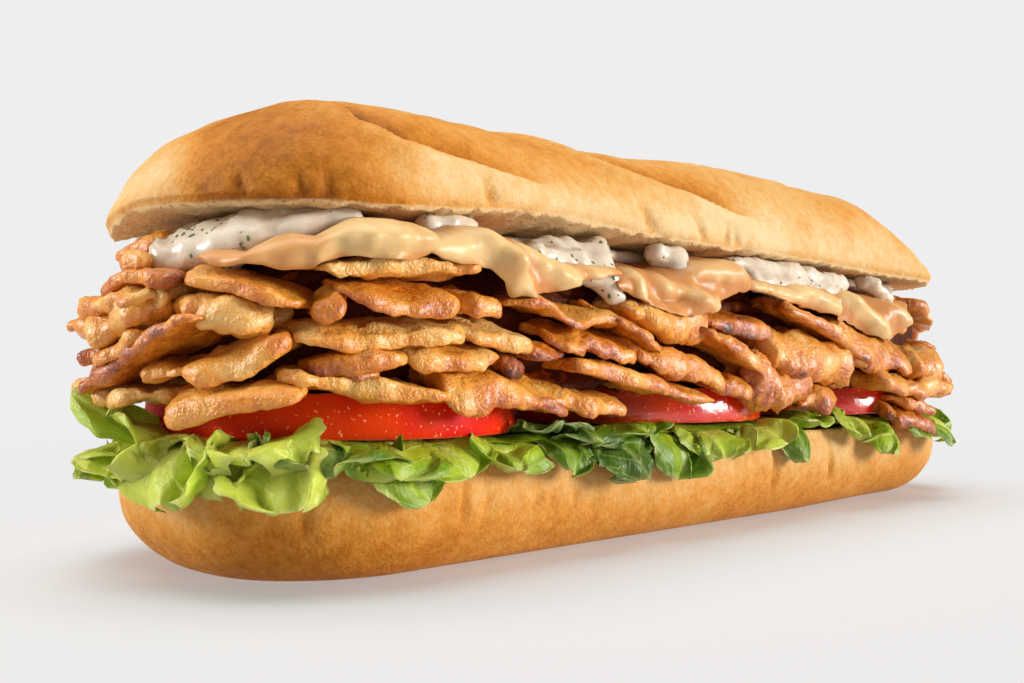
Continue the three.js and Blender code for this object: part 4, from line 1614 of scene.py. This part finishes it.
# %% Grow the leaves
Leaf = namedtuple("Leaf", "foot tip wide out ruffle age", defaults=(4, 2.2, 0.4))
LEAVES_IN_VIEW = [
    Leaf((150, 430), (74, 404), 9, 7.5, 1.6, 0.35),
    Leaf((158, 428), (112, 418), 16, 5, 2.0, 0.15),
    Leaf((140, 440), (86, 466), 10, 7, 1.6, 0.15),
    Leaf((150, 436), (118, 478), 20, 7, 2.4, 0.1),
    Leaf((185, 436), (160, 508), 22, 7, 2.4, 0.15),
    Leaf((235, 440), (205, 496), 18, 6, 2.4, 0.1),
    Leaf((270, 440), (288, 514), 22, 6, 2.0, 0.05),
    Leaf((250, 436), (245, 470), 24, 6.5, 2.4, 0.15),
    Leaf((330, 438), (330, 470), 26, 6, 2.4, 0.65),
    Leaf((385, 440), (434, 503), 15, 3.5, 1.4, 0.5),
    Leaf((390, 440), (400, 482), 22, 5, 2.0, 0.45),
    Leaf((430, 444), (478, 474), 18, 5.5, 1.2, 0.35),
    Leaf((500, 444), (516, 472), 20, 5, 2.2, 0.45),
    Leaf((545, 428), (560, 424), 18, 3, 2.0, 0.85),
    Leaf((560, 438), (572, 474), 15, 5, 1.8, 0.6),
    Leaf((585, 428), (600, 446), 22, 4, 2.4, 0.75),
    Leaf((610, 436), (640, 480), 24, 4.5, 1.8, 0.8),
    Leaf((625, 424), (650, 436), 22, 4.5, 2.0, 0.55),
    Leaf((670, 432), (688, 478), 20, 5, 2.0, 0.6),
    Leaf((700, 430), (724, 458), 24, 6, 2.2, 0.35),
    Leaf((750, 428), (788, 444), 18, 6.5, 1.8, 0.1),
    Leaf((790, 420), (806, 462), 11, 5, 1.4, 0.6),
    Leaf((800, 412), (830, 426), 22, 5, 2.2, 0.45),
    Leaf((850, 414), (866, 436), 24, 6, 2.4, 0.35),
    Leaf((876, 414), (890, 454), 15, 6, 2.0, 0.4),
    Leaf((900, 418), (922, 438), 16, 6.5, 1.6, 0.55),
    Leaf((915, 424), (957, 442), 12, 9, 1.2, 0.6),
]
FINE_LEAF = (38, 48)
COARSE_LEAF = (18, 26)
LEAF_SEED = 500
FAR_LEAF_SEED = 2000
SEEDS_PER_LEAF = 9


def grow_leaf(pile, foot, tip, look, seed, fineness):
    """Adds one leaf between a foot at the roll's edge and a tip that hangs outside it."""
    wide, ruffle, age = look
    rows, columns = fineness
    out = way_out(foot)
    start = foot - out * 9
    bend = foot + out * 4.5 + UP * 1.0
    step = np.linspace(0, 1, rows)[:, None, None]
    path = (1 - step) ** 2 * start + 2 * step * (1 - step) * bend + step**2 * tip
    side = unit(np.cross(tip - start, UP + out))
    across = np.linspace(-1, 1, columns)[None, :, None]
    fan = (0.7 + 0.4 * step) * np.sqrt(1 - 0.93 * step**5)
    flat = 0 * step * across
    spot = np.concatenate([flat + across * wide / 2, flat + step * 18, flat], axis=-1)
    frayed = 1 + 0.16 * uneven(spot, 5, seed) + 0.12 * uneven(spot, 1.8, seed + 1, 2)
    grid = path + across * fan * frayed[..., None] * side * wide / 2
    normal = grid_normals(grid)
    rim = np.clip(np.abs(across[..., 0]) ** 2.2 * 0.9 + step[..., 0] ** 2.4, 0, 1)
    rim = rim * fade(0.15, 0.5, step[..., 0])
    frill = uneven(spot, np.array([2.6, 7.5, 5]), seed + 7)
    folds = 1.4 * uneven(spot, np.array([5.2, 9, 5]), seed + 2) + 0.7 * frill
    crumple = 0.4 * uneven(spot, 5.0, seed + 4, 2)
    grid = grid + (ruffle * rim * folds + crumple * step[..., 0])[..., None] * normal
    sway = uneven(spot, np.array([4.5, 6.5, 5]), seed + 5)
    grid = grid + (0.9 * ruffle * rim * sway)[..., None] * side
    keep_out = 0.7 - (from_spine(grid) - HALF_WIDTH)
    low = fade(BOTTOM_CUT + 2.2, BOTTOM_CUT - 0.2, grid[..., 2])
    grid = grid + (np.maximum(keep_out, 0) * low)[..., None] * way_out(grid)
    ribs = np.abs(np.sin(3.6 * across[..., 0] / (0.35 + step[..., 0]) + 0.8 * uneven(spot, 6, seed)))
    middle_rib = np.exp(-((across[..., 0] * wide / 2) ** 2) / 0.8)
    rib = np.maximum(middle_rib, 0.7 * (1 - fade(0.0, 0.22, ribs))) * (1 - 0.6 * step[..., 0])
    to_rim = np.maximum(np.abs(across[..., 0]), step[..., 0])
    # A pale line along the border: a painted highlight where the thin edge catches light.
    rib = np.maximum(rib, 0.8 * fade(0.92, 1.0, to_rim))
    thickness = 0.55 * np.minimum(1, 0.35 + 2 * (1 - to_rim))
    places, faces = thick_sheet(grid, thickness)
    marks = {
        "rib": rib,
        "age": age + 0.25 * rim - 0.15,
        "along": step[..., 0] + flat[..., 0],
        "across": np.abs(across[..., 0]) + flat[..., 0],
    }
    pile.add(places, faces, **{name: np.tile(mark.ravel(), 2) for name, mark in marks.items()})


def lettuce_bed(pile):
    """The flat crumpled layer between the lower half and the tomatoes."""
    middle = (LETTUCE_TOP + BOTTOM_CUT) / 2 + 0.4
    heights = [*[middle - 0.9] * 3, middle, *[middle + 0.9] * 3]
    rings = sweep([0.3, 0.7, 0.9, 1.0, 0.9, 0.7, 0.3], heights)[0][:, ::3]
    rings[..., 2] += 0.4 * uneven(rings, 6, 5, 2)
    places, faces = skin_of_rings(rings)
    pile.add(places, faces, age=0.55)


def leaf_pile():
    return Pile("rib", "age", "along", "across")


def grow_front_leaves():
    pile = leaf_pile()
    for number, leaf in enumerate(LEAVES_IN_VIEW):
        foot, tip = seen(leaf.foot, -1), seen(leaf.tip, leaf.out)
        foot[2] = np.clip(foot[2], BOTTOM_CUT + 1.4, BOTTOM_CUT + 3)
        look = (leaf.wide, leaf.ruffle, leaf.age)
        grow_leaf(pile, foot, tip, look, LEAF_SEED + SEEDS_PER_LEAF * number, FINE_LEAF)
    return pile.piece("lettuce_in_view", LETTUCE_FINISH, "leaf", "lettuce")


def grow_other_leaves():
    pile = leaf_pile()
    dice = np.random.default_rng(17)
    walk = 0.0
    seed = FAR_LEAF_SEED
    while walk < WHOLE_WALK:
        foot = round_roll(walk, -1, BOTTOM_CUT + dice.uniform(1.4, 2.6))
        tip = round_roll(walk + dice.uniform(-8, 8), dice.uniform(3, 7), dice.uniform(12, 21))
        if not in_view(foot):
            look = (dice.uniform(16, 26), dice.uniform(1.4, 2.4), dice.uniform(0.15, 0.8))
            grow_leaf(pile, foot, tip, look, seed, COARSE_LEAF)
            seed += SEEDS_PER_LEAF
        walk += dice.uniform(7, 13)
    lettuce_bed(pile)
    return pile.piece("lettuce_beyond", LETTUCE_FINISH, "leaf")


grow_front_leaves()
grow_other_leaves()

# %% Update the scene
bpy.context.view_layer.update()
